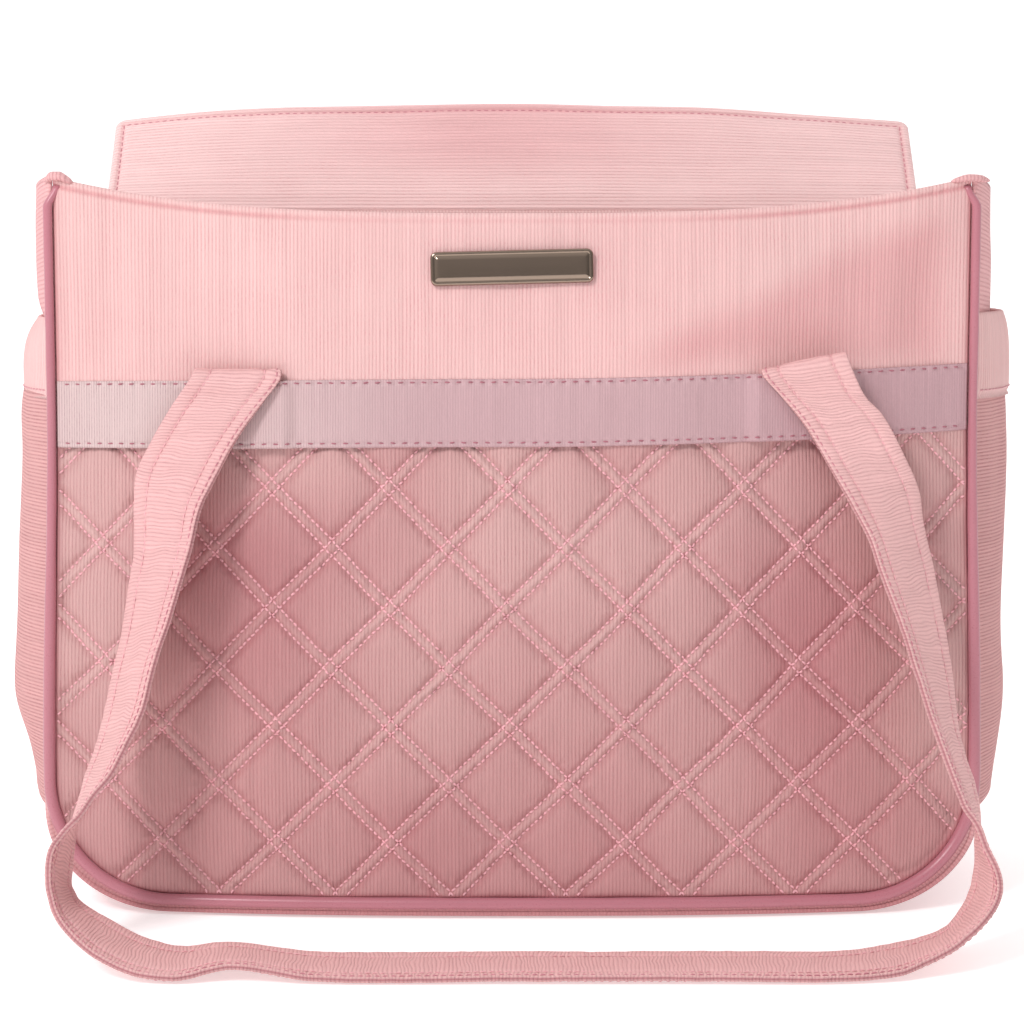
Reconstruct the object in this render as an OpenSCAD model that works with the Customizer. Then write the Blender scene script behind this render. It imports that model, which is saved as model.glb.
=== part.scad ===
// Diaper bag: soft tote with a quilted front, a standing closure flap, two side pockets
// and two shoulder handles. Millimetres, +Z up, front towards -Y.
// The origin is on the floor, under the middle of the bag.

/* [Body] */
// Half the width between the two side seams
half_w = 194; // [180:1:210]
// Half the depth between the front and back seams, at the sides
half_d = 65; // [55:1:75]
// Radius of the bottom corners of the front and back panels
corner_r = 50; // [40:1:60]
// Height of the front rim at its corners
rim_corner = 312; // [300:1:320]
// How far the front rim sags in the middle
rim_sag = 15; // [0:1:20]
// Height of the back rim
back_rim = 296; // [286:1:296]
// Outward swell of the front and back panels at their bottom edge
swell_low = 15; // [5:1:20]
// Further swell of the panels at half height
swell_mid = 11; // [0:1:16]

/* [Trim] */
// Outer radius of the piping
piping_r = 2.6; // [2:0.1:3.2]
// Height of the lower edge of the ribbon band
ribbon_low = 200.5; // [192:0.5:201]
// Width of the ribbon band
ribbon_w = 28; // [20:1:30]

/* [Handles] */
// Thickness of a handle strap
strap_t = 2.6; // [2.2:0.1:3]
// Height of the line where the handles fold over
fold_z = 229; // [229:1:232]

/* [Flap] */
// Lean of the middle of the flap behind the vertical, at rest, in degrees
flap_lean = 30; // [20:1:34]
// How much further the ends of the flap lean back, in degrees
flap_curl = 13; // [0:1:16]
// Length of the flap from its hinge line, at the sides
flap_len = 59; // [46:1:62]
// Extra length of the flap in the middle
flap_arch = 1; // [0:1:6]

/* [Hidden] */

seam_z = 5.5;            // height of the bottom seams above the floor
seam_gap = 3.5;          // how far the cloth edges stop short of the piping's centre
cloth_t = 1.2;           // thickness of the outer cloth
split_z = ribbon_low + ribbon_w / 2;   // join of the plain and quilted cloth, under the ribbon
arc_x = half_w - corner_r;             // where the bottom corners start
swell_h = 300;           // height over which the panels swell
hinge_y = 63;            // hinge line of the flap
hinge_z = 298;
flap_w = 191;            // half the width of the flap
rim_tilt = 6;            // slope of the front where the rim magnet lies
magnet_z = 254;          // height of the rim magnet, below the nameplate's washer
tab_x = [-113, 120.5];   // middles of the handle ends on the front
strap_w = 35;            // width of a handle strap
axis_y = -88.5;          // fold line of the front handle

FABRIC = "#eab4b4";
QUILT = "#d99c9c";
PIPING = "#c47787";
RIBBON = "#d3b0b6";
LINING = "#f2dcd8";
FOAM = "#f4f0e6";
METAL = "#8f8175";

function mix(a, b, t) = a + (b - a) * t;
function ease(t) = let (c = min(max(t, 0), 1)) c * c * (3 - 2 * c);
function span(a, b, n) = [for (i = [0 : n]) mix(a, b, i / n)];

// Plan swell, 0 at the side seams and 1 in the middle.
function across(x) = 1 - pow(min(abs(x) / half_w, 1), 2.6);
// Distance of the front panel and of the back panel from the middle plane.
function front_y(x, z) = half_d + across(x) * (swell_low + swell_mid * sin(180 * z / swell_h));
function back_y(x, z) = half_d + across(x)
    * (swell_low + 0.7 * swell_mid * sin(180 * z / swell_h) - swell_mid * pow(z / swell_h, 4));
function front_rim(x) = rim_corner - rim_sag * (1 - pow(min(abs(x) / half_w, 1), 3));
// Lower outline of a panel that is inset from the seam.
function low_z(x, inset) =
    let (r = corner_r - inset, dx = min(max(abs(x) - arc_x, 0), r))
    seam_z + inset + r - sqrt(r * r - dx * dx);

// Two triangles between rings i and i + 1. The second half of a ring is split along the
// other diagonal, so that the two faces of a thin sheet stay parallel where it twists.
function side_faces(n, i, j) =
    let (k = (j + 1) % n, a = i * n, b = a + n)
    j < n / 2 ? [[a + j, b + j, b + k], [a + j, b + k, a + k]]
              : [[a + j, b + j, a + k], [b + j, b + k, a + k]];
function flipped(faces, o) = [for (f = faces) [f[0] + o, f[2] + o, f[1] + o]];

// Closed solid through rings of points, with flat ends.
module loft(rings) {
    n = len(rings[0]);
    m = len(rings);
    polyhedron(
        points = [for (r = rings) each r],
        faces = concat(
            [[for (j = [0 : n - 1]) j]],
            [for (i = [0 : m - 2]) for (j = [0 : n - 1]) each side_faces(n, i, j)],
            [[for (j = [n - 1 : -1 : 0]) (m - 1) * n + j]]),
        convexity = 8);
}

// Closed tube between outer and inner rings that have the same number of points.
module tube(outer, inner) {
    n = len(outer[0]);
    m = len(outer);
    o = n * m;
    polyhedron(
        points = concat([for (r = outer) each r], [for (r = inner) each r]),
        faces = concat(
            [for (i = [0 : m - 2]) for (j = [0 : n - 1]) each concat(
                side_faces(n, i, j), flipped(side_faces(n, i, j), o))],
            [for (j = [0 : n - 1]) let (k = (j + 1) % n, e = (m - 1) * n) each [
                [j, k, o + k], [j, o + k, o + j],
                [e + k, e + j, o + e + j], [e + k, o + e + j, o + e + k]
            ]]),
        convexity = 8);
}

// Stations across a panel, closer together round the bottom corners.
function stations(w) = concat(
    [for (a = [90 : -15 : 15]) -(arc_x + (w - arc_x) * sin(a))],
    span(-arc_x, arc_x, 12),
    [for (a = [15 : 15 : 90]) arc_x + (w - arc_x) * sin(a)]);

// One layer of the front: a curved sheet between two offsets from the panel's surface.
function sheet_ring(x, z0, z1, o0, o1, rows) = concat(
    [for (z = span(z1, z0, rows)) [x, -front_y(x, z) - o1, z]],
    [for (z = span(z0, z1, rows)) [x, -front_y(x, z) - o0, z]]);
function back_ring(x, z0, z1, o0, o1, rows) = concat(
    [for (z = span(z0, z1, rows)) [x, back_y(x, z) + o1, z]],
    [for (z = span(z1, z0, rows)) [x, back_y(x, z) + o0, z]]);

module front_top_panel()
    color(FABRIC) difference() {
        loft([for (x = stations(half_w - seam_gap))
            sheet_ring(x, split_z + 0.1, front_rim(x), -cloth_t, 0, 5)]);
        posts(0.9, 4, -1);
    }

module front_top_padding()
    color(FOAM) difference() {
        loft([for (x = span(-186, 186, 14))
            sheet_ring(x, split_z + 2, front_rim(x) - 8, -4.4, -cloth_t - 0.4, 5)]);
        posts(0.9, 8, 0);
    }

module front_quilted_panel()
    color(QUILT) loft([for (x = stations(half_w - seam_gap))
        sheet_ring(x, low_z(x, seam_gap), split_z - 0.1, -cloth_t, 0, 8)]);

module quilt_padding()
    color(FOAM) loft([for (x = stations(half_w - 8))
        sheet_ring(x, low_z(x, 8), split_z - 2, -6.4, -cloth_t - 0.4, 8)]);

module front_lining()
    color(LINING) loft([for (x = stations(half_w - 6))
        sheet_ring(x, low_z(x, 6), front_rim(x) - 2, -7.6, -6.8, 8)]);

module back_panel()
    color(FABRIC) loft([for (x = stations(half_w - seam_gap))
        back_ring(x, low_z(x, seam_gap), back_rim, -cloth_t, 0, 10)]);

module back_padding()
    color(FOAM) loft([for (x = stations(half_w - 8))
        back_ring(x, low_z(x, 8), back_rim - 8, -4.4, -cloth_t - 0.5, 8)]);

module back_lining()
    color(LINING) loft([for (x = stations(half_w - 6))
        back_ring(x, low_z(x, 6), back_rim - 4, -7.6, -6.8, 8)]);

// The ribbon lies on the cloth, and rises over the handle ends that are sewn under it.
function ribbon_lift(x) = 0.5 + 1.5 * max(
    ease((24 - abs(x - tab_x[0])) / 4), ease((24 - abs(x - tab_x[1])) / 4));
ribbon_x = concat([-188.5], span(-160, -139, 1), span(-137, -89, 8), span(-60, 60, 4),
    span(96.5, 144.5, 8), span(150, 165, 1), [188.5]);

module front_ribbon()
    color(RIBBON) loft([for (x = ribbon_x) let (o = ribbon_lift(x))
        sheet_ring(x, ribbon_low, ribbon_low + ribbon_w, o, o + 0.8, 2)]);

module back_ribbon()
    color(RIBBON) loft([for (x = ribbon_x) let (o = ribbon_lift(x))
        back_ring(x, ribbon_low, ribbon_low + ribbon_w, o, o + 0.8, 2)]);

// Seam outline from the top left corner round the bottom to the top right corner,
// as [x, z, outward x, outward z].
function seam_path(top) = concat(
    [for (z = span(top, seam_z + corner_r, 7)) [-half_w, z, -1, 0]],
    [for (a = [12 : 12 : 84]) [-arc_x - corner_r * cos(a), seam_z + corner_r * (1 - sin(a)),
        -cos(a), -sin(a)]],
    [for (x = span(-arc_x, arc_x, 10)) [x, seam_z, 0, -1]],
    [for (a = [84 : -12 : 12]) [arc_x + corner_r * cos(a), seam_z + corner_r * (1 - sin(a)),
        cos(a), -sin(a)]],
    [for (z = span(seam_z + corner_r, top, 7)) [half_w, z, 1, 0]]);

function piping_rings(top, r, side) = [for (p = seam_path(top))
    let (y = side * (side < 0 ? front_y(p[0], p[1]) : back_y(p[0], p[1])))
    [for (i = [0 : 9]) let (a = 36 * i, n = r * cos(a))
        [p[0] + p[2] * n, y + r * sin(a), p[1] + p[3] * n]]];

module piping_cover(top, side)
    color(PIPING) tube(piping_rings(top, piping_r, side), piping_rings(top, piping_r - 0.8, side));

module piping_cord(top, side)
    color("white") loft(piping_rings(top - 1, piping_r - 1, side));

// Outward swell of the side gusset. It is held in behind the pocket.
function side_swell(z) = 10 + 6 * ease((z - 246) / 18);
side_edge = half_d - seam_gap;

// Half of a side gusset's surface at height z and depth share v, from -1 at the front to 1.
function side_x(z, v) = half_w + side_swell(z) * (1 - v * v);
function side_top(v) = mix(rim_corner, back_rim, (v + 1) / 2);
function side_ring(u, t, n = 10) = concat(
    [for (v = span(-1, 1, n)) let (z = mix(seam_z + corner_r, side_top(v), u))
        [side_x(z, v), v * side_edge, z]],
    [for (v = span(1, -1, n)) let (z = mix(seam_z + corner_r, side_top(v), u))
        [side_x(z, v) - t, v * side_edge, z]]);
// The same round a bottom corner: a runs from 90 at the bottom to 0 at the side.
function corner_ring(a, t, n = 10) =
    let (x = arc_x + corner_r * cos(a),
         e = front_y(x, seam_z + corner_r * (1 - sin(a))) - seam_gap,
         b = mix(10, 5.4, a / 90),
         p = mix(2, 6, a / 90))
    concat(
        [for (v = span(-1, 1, n)) let (r = corner_r + b * (1 - pow(abs(v), p)))
            [arc_x + r * cos(a), v * e, seam_z + corner_r - r * sin(a)]],
        [for (v = span(1, -1, n)) let (r = corner_r + b * (1 - pow(abs(v), p)) - t)
            [arc_x + r * cos(a), v * e, seam_z + corner_r - r * sin(a)]]);

module right_gusset()
    color(FABRIC) loft(concat(
        [for (a = [90 : -15 : 15]) corner_ring(a, 1.6)],
        [for (u = [0, 0.2, 0.4, 0.6, 0.7, 0.74, 0.78, 0.82, 0.9, 1]) side_ring(u, 1.6)]));

module left_gusset()
    mirror([1, 0, 0]) right_gusset();

// Outline of the bottom between the corners, inset from the bottom seams.
module footprint(inset)
    polygon(concat(
        [for (x = span(-arc_x + 0.3, arc_x - 0.3, 16)) [x, -front_y(x, seam_z) + inset]],
        [for (x = span(arc_x - 0.3, -arc_x + 0.3, 16)) [x, back_y(x, seam_z) - inset]]));

// Flat bottom with a turned-up edge along each bottom seam.
module bottom_gusset()
    color(FABRIC) difference() {
        linear_extrude(seam_z) footprint(seam_gap);
        translate([0, 0, 2]) linear_extrude(seam_z) scale([1.01, 1])
            footprint(seam_gap + 1.6);
    }

module base_board()
    color("#5a5552") translate([0, 0, 3.2]) linear_extrude(2.4) scale([0.92, 1]) footprint(14);

// One strip that lines both sides and the bottom.
function lining_ring(p) =
    let (f = 9 - front_y(p[0], p[1]), b = back_y(p[0], p[1]) - 9)
    concat([for (y = [f, b]) [p[0] - 2.8 * p[2], y, p[1] - 2.8 * p[3]]],
        [for (y = [b, f]) [p[0] - 3.6 * p[2], y, p[1] - 3.6 * p[3]]]);

module gusset_lining()
    color(LINING) loft([for (p = seam_path(back_rim - 3)) lining_ring(p)]);

// Side pocket: a pouch sewn to the gusset at its sides and its bottom edge.
pocket_low = 38;
cuff_low = 219;
cuff_top = 248;
function pocket_gap(z) = mix(8 * ease((z - pocket_low) / 7), 15, ease((z - pocket_low) / 60))
    - 7 * ease((z - 150) / 90);
function pouch_x(z, v) = side_x(z, v) + 0.4 + pocket_gap(z) * (1 - pow(abs(v), 3));

module pocket_panel()
    color(FABRIC) loft([for (z = concat(span(pocket_low, pocket_low + 10, 3),
            span(pocket_low + 20, cuff_low - 1, 10))) concat(
        [for (v = span(-1, 1, 10)) [pouch_x(z, v) + cloth_t, v * (side_edge - 1), z]],
        [for (v = span(1, -1, 10)) [pouch_x(z, v), v * (side_edge - 1), z]])]);

// Band at the pocket's mouth: a flat tube of cloth with an elastic strip inside.
function cuff_rings(w, o0, z0, o1, z1) = [for (v = span(w, -w, 12))
    let (x = side_x(cuff_low, v) + 0.4 + pocket_gap(cuff_low + 14) * (1 - pow(abs(v), 3)),
         y = v * (side_edge - 1))
    [[x + o0, y, z0], [x + o1, y, z0], [x + o1, y, z1], [x + o0, y, z1]]];

module pocket_cuff()
    color(FABRIC) tube(cuff_rings(1, 0, cuff_low, 2.6, cuff_top),
        cuff_rings(1, 0.7, cuff_low + 0.8, 1.9, cuff_top - 0.8));

module pocket_elastic()
    color("white") loft(cuff_rings(0.96, 1, cuff_low + 3, 1.6, cuff_top - 3));

// Pocket on the back lining: a flat sheet drawn tight by elastic, with a floor strip.
inner_low = 28;
inner_top = 150;
inner_half = 150;
inner_y = 64.6;

module inner_pocket_panel()
    color(LINING) {
        translate([-inner_half, inner_y, inner_low]) cube([2 * inner_half, 0.8, inner_top - inner_low]);
        translate([0, 0, inner_low]) linear_extrude(0.8) polygon(concat(
            [[-144, inner_y + 0.4], [144, inner_y + 0.4]],
            [for (x = span(144, -144, 16)) [x, back_y(x, inner_low) - 8.4]]));
    }

module inner_pocket_elastic()
    color("white") translate([-inner_half, inner_y - 1, inner_top - 10])
        cube([2 * inner_half, 0.9, 9.5]);

// Metal plate with no marking, held by two posts and a washer behind the cloth.
plate_z = 274;
plate_w = 67;
plate_h = 14;
post_x = 24;
module on_plate() translate([0, -front_y(0, plate_z) - 0.5, plate_z]) rotate([-6, -1.4, 0]) children();
module plate_slab(w, h, t, r)
    rotate([90, 0, 0]) linear_extrude(t) hull() for (x = [-1, 1], z = [-1, 1])
        translate([x * (w / 2 - r), z * (h / 2 - r)]) circle(r, $fn = 32);

module nameplate()
    color(METAL) on_plate() plate_slab(plate_w, plate_h, 2, 2.5);

module posts(r, h, start)
    on_plate() for (x = [-post_x, post_x])
        translate([x, start, 0]) rotate([-90, 0, 0]) cylinder(h = h, r = r, $fn = 32);

module nameplate_posts()
    color(METAL) posts(0.8, 6.3, 0);

module nameplate_washer()
    color(METAL) on_plate() translate([0, 6, 0]) difference() {
        plate_slab(plate_w - 8, 9, 0.5, 2);
        for (x = [-post_x, post_x]) translate([x, 1, 0]) rotate([90, 0, 0])
            cylinder(h = 3, r = 0.9, $fn = 32);
    }

// Ends of the handle straps, sewn flat under the ribbon.
module front_handle_tabs()
    color(FABRIC) for (c = tab_x)
        loft([for (x = span(c - strap_w / 2, c + strap_w / 2, 4))
            sheet_ring(x, ribbon_low + 3, fold_z - 2.6, 0.1, 1.9, 3)]);

module back_handle_tabs()
    color(FABRIC) for (c = tab_x)
        loft([for (x = span(c - strap_w / 2, c + strap_w / 2, 4))
            back_ring(x, ribbon_low + 3, fold_z - 2.6, 0.1, 1.9, 3)]);

module flap_hinge_seam()
    color(FABRIC) translate([-flap_w, hinge_y, hinge_z]) rotate([0, 90, 0])
        cylinder(h = 2 * flap_w, r = 1.2, $fn = 32);

// The flap leans back further towards its ends, and its top corners are rounded.
flap_r = 4;
function lean_at(x) = flap_lean + flap_curl * pow(abs(x) / flap_w, 2);
function flap_end(x, grow) =
    let (r = flap_r - grow / 2, d = min(max(abs(x) - (flap_w - grow - r), 0), r))
    flap_len + flap_arch * (1 - pow(x / flap_w, 2)) - grow - r + sqrt(r * r - d * d);
// Section at x, between offsets o0 and o1 from the middle layer, towards the back.
function flap_ring(x, len, o0, o1) =
    let (a = lean_at(x), f = function(l, o)
        [x, hinge_y + l * sin(a) + o * cos(a), hinge_z + l * cos(a) - o * sin(a)])
    [f(len, o0), f(2.4, o0), f(2.4, o1), f(len, o1)];
// Every layer shares its inner stations, so that the layers stay parallel.
function flap_stations(w) = concat([-w, 0.4 - w, 2 - w], span(8 - flap_w, flap_w - 8, 16),
    [w - 2, w - 0.4, w]);

module flap_layer(o0, o1, grow)
    loft([for (x = flap_stations(flap_w - grow)) flap_ring(x, flap_end(x, grow), o0, o1)]);

module flap_outer() color(FABRIC) flap_layer(0.8, 1.8, 0);
module flap_inner() color(FABRIC) flap_layer(-1.8, -0.8, 0);
module flap_core()
    color(FOAM) difference() {
        flap_layer(-0.45, 0.45, 5);
        at_flap_magnet() translate([0, 0, -3]) cylinder(h = 6, r = 9.2, $fn = 32);
    }

module at_flap_magnet()
    translate([0, hinge_y, hinge_z]) rotate([-flap_lean, 0, 0])
        translate([0, 0, flap_len - 16]) rotate([90, 0, 0]) children();

module flap_magnet()
    color(METAL) at_flap_magnet() translate([0, 0, -0.6]) cylinder(h = 1.2, r = 9, $fn = 32);

module rim_magnet()
    color(METAL) translate([0, 5.7 - front_y(0, magnet_z), magnet_z]) rotate([90 - rim_tilt, 0, 0])
        translate([0, 0, -0.5]) cylinder(h = 1, r = 9, $fn = 32);

// Route of the front handle, from the left fold to the right fold.
// Each station is the edge that starts nearer the middle of the bag, then the other edge.
handle_route = [
    [[-95, axis_y, fold_z], [-131, axis_y, fold_z]],
    [[-103, -91, 218], [-139, -88, 219]],
    [[-113, -95, 204], [-148, -88, 204]],
    [[-122, -102, 187], [-155, -88, 189]],
    [[-127, -107, 176], [-156, -88, 175]],
    [[-130, -111, 161], [-156, -88, 158]],
    [[-135, -113, 145], [-159, -88, 140]],
    [[-140, -114, 129], [-162, -88, 122]],
    [[-145, -116, 114], [-166, -89, 105]],
    [[-150, -119, 95], [-170, -91, 86]],
    [[-156, -125, 82], [-173, -95, 74]],
    [[-161, -131, 72], [-176, -100, 65]],
    [[-167, -136, 65], [-178, -104, 56]],
    [[-172, -141, 58], [-180, -108, 48]],
    [[-178, -145, 52], [-180, -112, 40]],
    [[-182, -149, 46], [-180, -117, 32]],
    [[-183, -153, 38], [-180, -121, 25]],
    [[-181, -159, 30], [-178, -125, 22]],
    [[-177, -164, 22], [-174, -130, 19]],
    [[-166, -170, 12], [-162, -135, 13]],
    [[-155, -173, 6], [-151, -138, 8]],
    [[-144, -176, 3], [-143, -141, 6]],
    [[-130, -177, 2], [-132, -142, 4]],
    [[-110, -175, 6], [-112, -140, 5]],
    [[-76, -177, 2], [-77, -143, 2]],
    [[0, -177, 2], [0, -143, 2]],
    [[76, -177, 2], [77, -143, 2]],
    [[126, -177, 2], [131, -142, 2]],
    [[149, -174, 3], [151, -139, 4]],
    [[160, -171, 6], [164, -136, 6]],
    [[173, -168, 12], [175, -134, 10]],
    [[185, -163, 21], [182, -129, 16]],
    [[191, -157, 28], [187, -123, 23]],
    [[192, -152, 36], [190, -117, 33]],
    [[188, -145, 46], [191, -111, 40]],
    [[185, -140, 54], [192, -107, 47]],
    [[181, -136, 60], [192, -104, 53]],
    [[178, -132, 68], [191, -100, 61]],
    [[175, -127, 77], [188, -96, 71]],
    [[170, -122, 91], [185, -91, 85]],
    [[164, -118, 110], [183, -89, 103]],
    [[159, -116, 126], [180, -88, 121]],
    [[155, -114, 137], [177, -87, 136]],
    [[150, -112, 150], [174, -87, 152]],
    [[145, -109, 165], [170, -87, 168]],
    [[139, -103, 177], [168, -87, 182]],
    [[130, -97, 193], [162, -88, 196]],
    [[120, -92, 210], [153, -88, 213]],
    [[111, -89.5, 221], [145, -88.5, 222]],
    [[103, axis_y, fold_z], [138, axis_y, fold_z]]
];
function unit(v) = v / norm(v);
// Rectangle across the route at station i, thinner than the strap by t and narrower by w.
function strap_ring(i, w, t) =
    let (n = len(handle_route) - 1,
         a = handle_route[i][0], b = handle_route[i][1],
         p = handle_route[max(i - 1, 0)], q = handle_route[min(i + 1, n)],
         along = unit((q[0] + q[1]) - (p[0] + p[1])),
         wide = unit(b - a), up = unit(cross(along, wide)) * (strap_t / 2 - t), e = wide * w)
    [a + e - up, b - e - up, b - e + up, a + e + up];
function strap_rings(w, t, first) = [for (i = [first : len(handle_route) - 1 - first])
    strap_ring(i, w, t)];

module handle_sleeve()
    color(FABRIC) {
        tube(strap_rings(0, 0, 0), strap_rings(1.6, 0.7, 0));
        for (c = [-113, 120.5]) translate([c - 17, axis_y, fold_z]) rotate([0, 90, 0])
            cylinder(h = 34, r = strap_t / 2 + 0.2, $fn = 32);
    }

module handle_core()
    color("white") loft(strap_rings(2, 0.9, 2));

module back_copy() mirror([0, 1, 0]) children();

front_top_panel();
front_top_padding();
front_quilted_panel();
quilt_padding();
front_ribbon();
piping_cover(rim_corner - 3, -1);  // front_piping_cover
piping_cord(rim_corner - 3, -1);  // front_piping_cord
front_lining();
back_panel();
back_padding();
back_ribbon();
piping_cover(back_rim - 3, 1);  // back_piping_cover
piping_cord(back_rim - 3, 1);  // back_piping_cord
back_lining();
left_gusset();
right_gusset();
bottom_gusset();
gusset_lining();
base_board();
mirror([1, 0, 0]) pocket_panel();  // left_pocket_panel
mirror([1, 0, 0]) pocket_cuff();  // left_pocket_cuff
mirror([1, 0, 0]) pocket_elastic();  // left_pocket_elastic
pocket_panel();  // right_pocket_panel
pocket_cuff();  // right_pocket_cuff
pocket_elastic();  // right_pocket_elastic
inner_pocket_panel();
inner_pocket_elastic();
nameplate();
nameplate_posts();
nameplate_washer();
rim_magnet();
front_handle_tabs();
back_handle_tabs();
flap_hinge_seam();
flap_outer();
flap_core();
flap_inner();
flap_magnet();
handle_sleeve();  // front_handle_sleeve
handle_core();  // front_handle_core
back_copy() handle_sleeve();  // back_handle_sleeve
back_copy() handle_core();  // back_handle_core
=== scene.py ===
"""Diaper bag: soft tote with a quilted front, ribbon band, side pockets, flap and handles.

Lengths in the geometry code are millimetres. put() turns them into metres.
"""
import bpy
import math
import numpy as np
from mathutils import Matrix, Vector


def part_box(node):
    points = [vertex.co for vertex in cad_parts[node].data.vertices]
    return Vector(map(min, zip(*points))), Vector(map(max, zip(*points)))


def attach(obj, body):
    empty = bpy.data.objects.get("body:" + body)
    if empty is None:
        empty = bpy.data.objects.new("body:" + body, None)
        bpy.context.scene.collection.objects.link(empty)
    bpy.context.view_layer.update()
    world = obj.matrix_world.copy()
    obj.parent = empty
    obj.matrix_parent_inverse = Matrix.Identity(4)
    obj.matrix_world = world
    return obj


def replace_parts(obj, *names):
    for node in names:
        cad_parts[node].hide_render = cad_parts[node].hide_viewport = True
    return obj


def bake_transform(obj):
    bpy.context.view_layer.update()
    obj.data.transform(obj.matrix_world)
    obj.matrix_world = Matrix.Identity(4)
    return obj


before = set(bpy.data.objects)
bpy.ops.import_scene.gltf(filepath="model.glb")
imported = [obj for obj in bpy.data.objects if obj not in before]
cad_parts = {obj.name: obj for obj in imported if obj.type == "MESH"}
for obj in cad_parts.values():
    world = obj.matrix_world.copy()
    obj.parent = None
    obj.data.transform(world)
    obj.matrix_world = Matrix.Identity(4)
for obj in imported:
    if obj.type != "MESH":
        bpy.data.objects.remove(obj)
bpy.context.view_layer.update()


def edge_of(node, end, axis):
    """A side of a CAD node's box in mm. end is 0 for the low side and 1 for the high side."""
    return round(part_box(node)[end][axis] * 1000, 1)


PIPING_R = 2.6
HALF_W = edge_of("front_piping_cover", 1, 0) - PIPING_R
SEAM_Z = edge_of("front_piping_cover", 0, 2) + PIPING_R
HALF_D, CORNER_R = 65.0, 50.0
ARC_X = HALF_W - CORNER_R
RIM_CORNER, RIM_SAG = edge_of("right_gusset", 1, 2), 15.6
BACK_RIM = edge_of("back_panel", 1, 2)
RIBBON_LOW = edge_of("front_ribbon", 0, 2)
RIBBON_W = edge_of("front_ribbon", 1, 2) - RIBBON_LOW
SPLIT_Z = RIBBON_LOW + RIBBON_W / 2
HINGE_Y = (edge_of("flap_hinge_seam", 0, 1) + edge_of("flap_hinge_seam", 1, 1)) / 2
HINGE_Z = (edge_of("flap_hinge_seam", 0, 2) + edge_of("flap_hinge_seam", 1, 2)) / 2
FLAP_W = edge_of("flap_outer", 1, 0)
POCKET_LOW = edge_of("left_pocket_panel", 0, 2) - 1
CUFF_LOW, CUFF_TOP = edge_of("left_pocket_cuff", 0, 2), edge_of("left_pocket_cuff", 1, 2)
PLATE_Z = (edge_of("nameplate", 0, 2) + edge_of("nameplate", 1, 2)) / 2


# ---------------------------------------------------------------- helpers

def lin(r, g, b):
    """sRGB 0-255 to linear."""
    return tuple(((c / 255 + 0.055) / 1.055) ** 2.4 if c > 10 else c / 3294.6 for c in (r, g, b))


def ease(t):
    """Smooth step from 0 to 1."""
    t = np.clip(t, 0, 1)
    return t * t * (3 - 2 * t)


def bell(t):
    """1 at 0, falling to almost 0 by 2 to either side."""
    return np.exp(-t * t)


def noise(u, v, seed):
    """Smooth noise from -1 to 1, with one cell to a unit."""
    table = np.random.RandomState(seed).uniform(-1, 1, (64, 64))
    u, v = np.broadcast_arrays(np.asarray(u, float), np.asarray(v, float))
    iu, iv = np.floor(u).astype(int), np.floor(v).astype(int)
    fu, fv = ease(u - iu), ease(v - iv)

    def row(j):
        return table[iu % 64, j % 64] * (1 - fu) + table[(iu + 1) % 64, j % 64] * fu

    return row(iv) * (1 - fv) + row(iv + 1) * fv


def flare(z):
    """Factor by which the bag widens towards its base."""
    return 1 + 0.02 * ease((222 - z) / 170)


def add_object(name, data):
    obj = bpy.data.objects.new(name, data)
    bpy.context.scene.collection.objects.link(obj)
    return obj


def put(name, verts, faces, uvs, mat, body, tint=None):
    """Mesh object from vertices in mm, faces, and one UV in mm for each face corner.

    tint, from 0 to 1 for each vertex, deepens the cloth's colour there: mostly painted shade, in places tone
    that varies at random.
    """
    mesh = bpy.data.meshes.new(name)
    verts = np.array(verts, float)
    if body == "bag":
        verts[:, 0] *= flare(verts[:, 2])
    mesh.from_pydata((verts * 0.001).tolist(), [], faces)
    if uvs is not None:
        layer = mesh.uv_layers.new(name="UVMap")
        layer.data.foreach_set("uv", (np.asarray(uvs) * 0.001).astype(np.float32).ravel())
    if tint is not None:
        layer = mesh.attributes.new("tint", "FLOAT", "POINT")
        layer.data.foreach_set("value", np.asarray(tint, np.float32).ravel())
    mesh.materials.append(mat)
    mesh.shade_smooth()
    obj = add_object(name, mesh)
    if body:
        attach(obj, body)
    return obj


def loft(name, rings, uv, mat, body, tint=None):
    """Closed skin through rings (n, m, 3). uv is (n, m + 1, 2): the last column closes the ring."""
    n, m = rings.shape[:2]
    i, j = np.meshgrid(np.arange(n - 1), np.arange(m), indexing="ij")
    k = (j + 1) % m
    quads = np.stack([i * m + j, (i + 1) * m + j, (i + 1) * m + k, i * m + k], -1).reshape(-1, 4)
    corner = np.stack([uv[i, j], uv[i + 1, j], uv[i + 1, j + 1], uv[i, j + 1]], 2).reshape(-1, 2)
    faces = quads.tolist()
    faces.append(list(range(m)))
    faces.append([(n - 1) * m + q for q in range(m - 1, -1, -1)])
    uvs = np.concatenate([corner, uv[0, :m], uv[-1, :m][::-1]])
    return put(name, rings.reshape(-1, 3), faces, uvs, mat, body, tint)


def shell(name, outer, inner, u, v, mat, tint=None):
    """Thin sheet of the bag between two grids (n, m, 3).

    u (n, 1) and v (1 or n, m) are the sheet's flat coordinates. The inner face has a quarter of
    the outer one's columns.
    """
    rings = np.concatenate([outer, inner[:, ::4][:, ::-1]], 1)
    v = np.concatenate([v, v[:, ::4][:, ::-1], v[:, :1]], 1)
    uv = np.stack(np.broadcast_arrays(u, v), 2)
    if tint is not None:
        tint = np.broadcast_to(tint, rings.shape[:2])
    return loft(name, rings, uv, mat, "bag", tint)


def grid(x, y, z):
    """Points from coordinates that broadcast together."""
    return np.stack(np.broadcast_arrays(x, y, z), -1)


def length_along(points):
    """Distance from the first point to each point of a line."""
    steps = np.linalg.norm(np.diff(points, axis=0), axis=1)
    return np.concatenate([[0], np.cumsum(steps)])


def between(places, values, t):
    """Rows of values (n, k), given at rising places, read off at t."""
    return np.stack([np.interp(t, places, values[:, column]) for column in range(values.shape[1])], -1)


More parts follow.
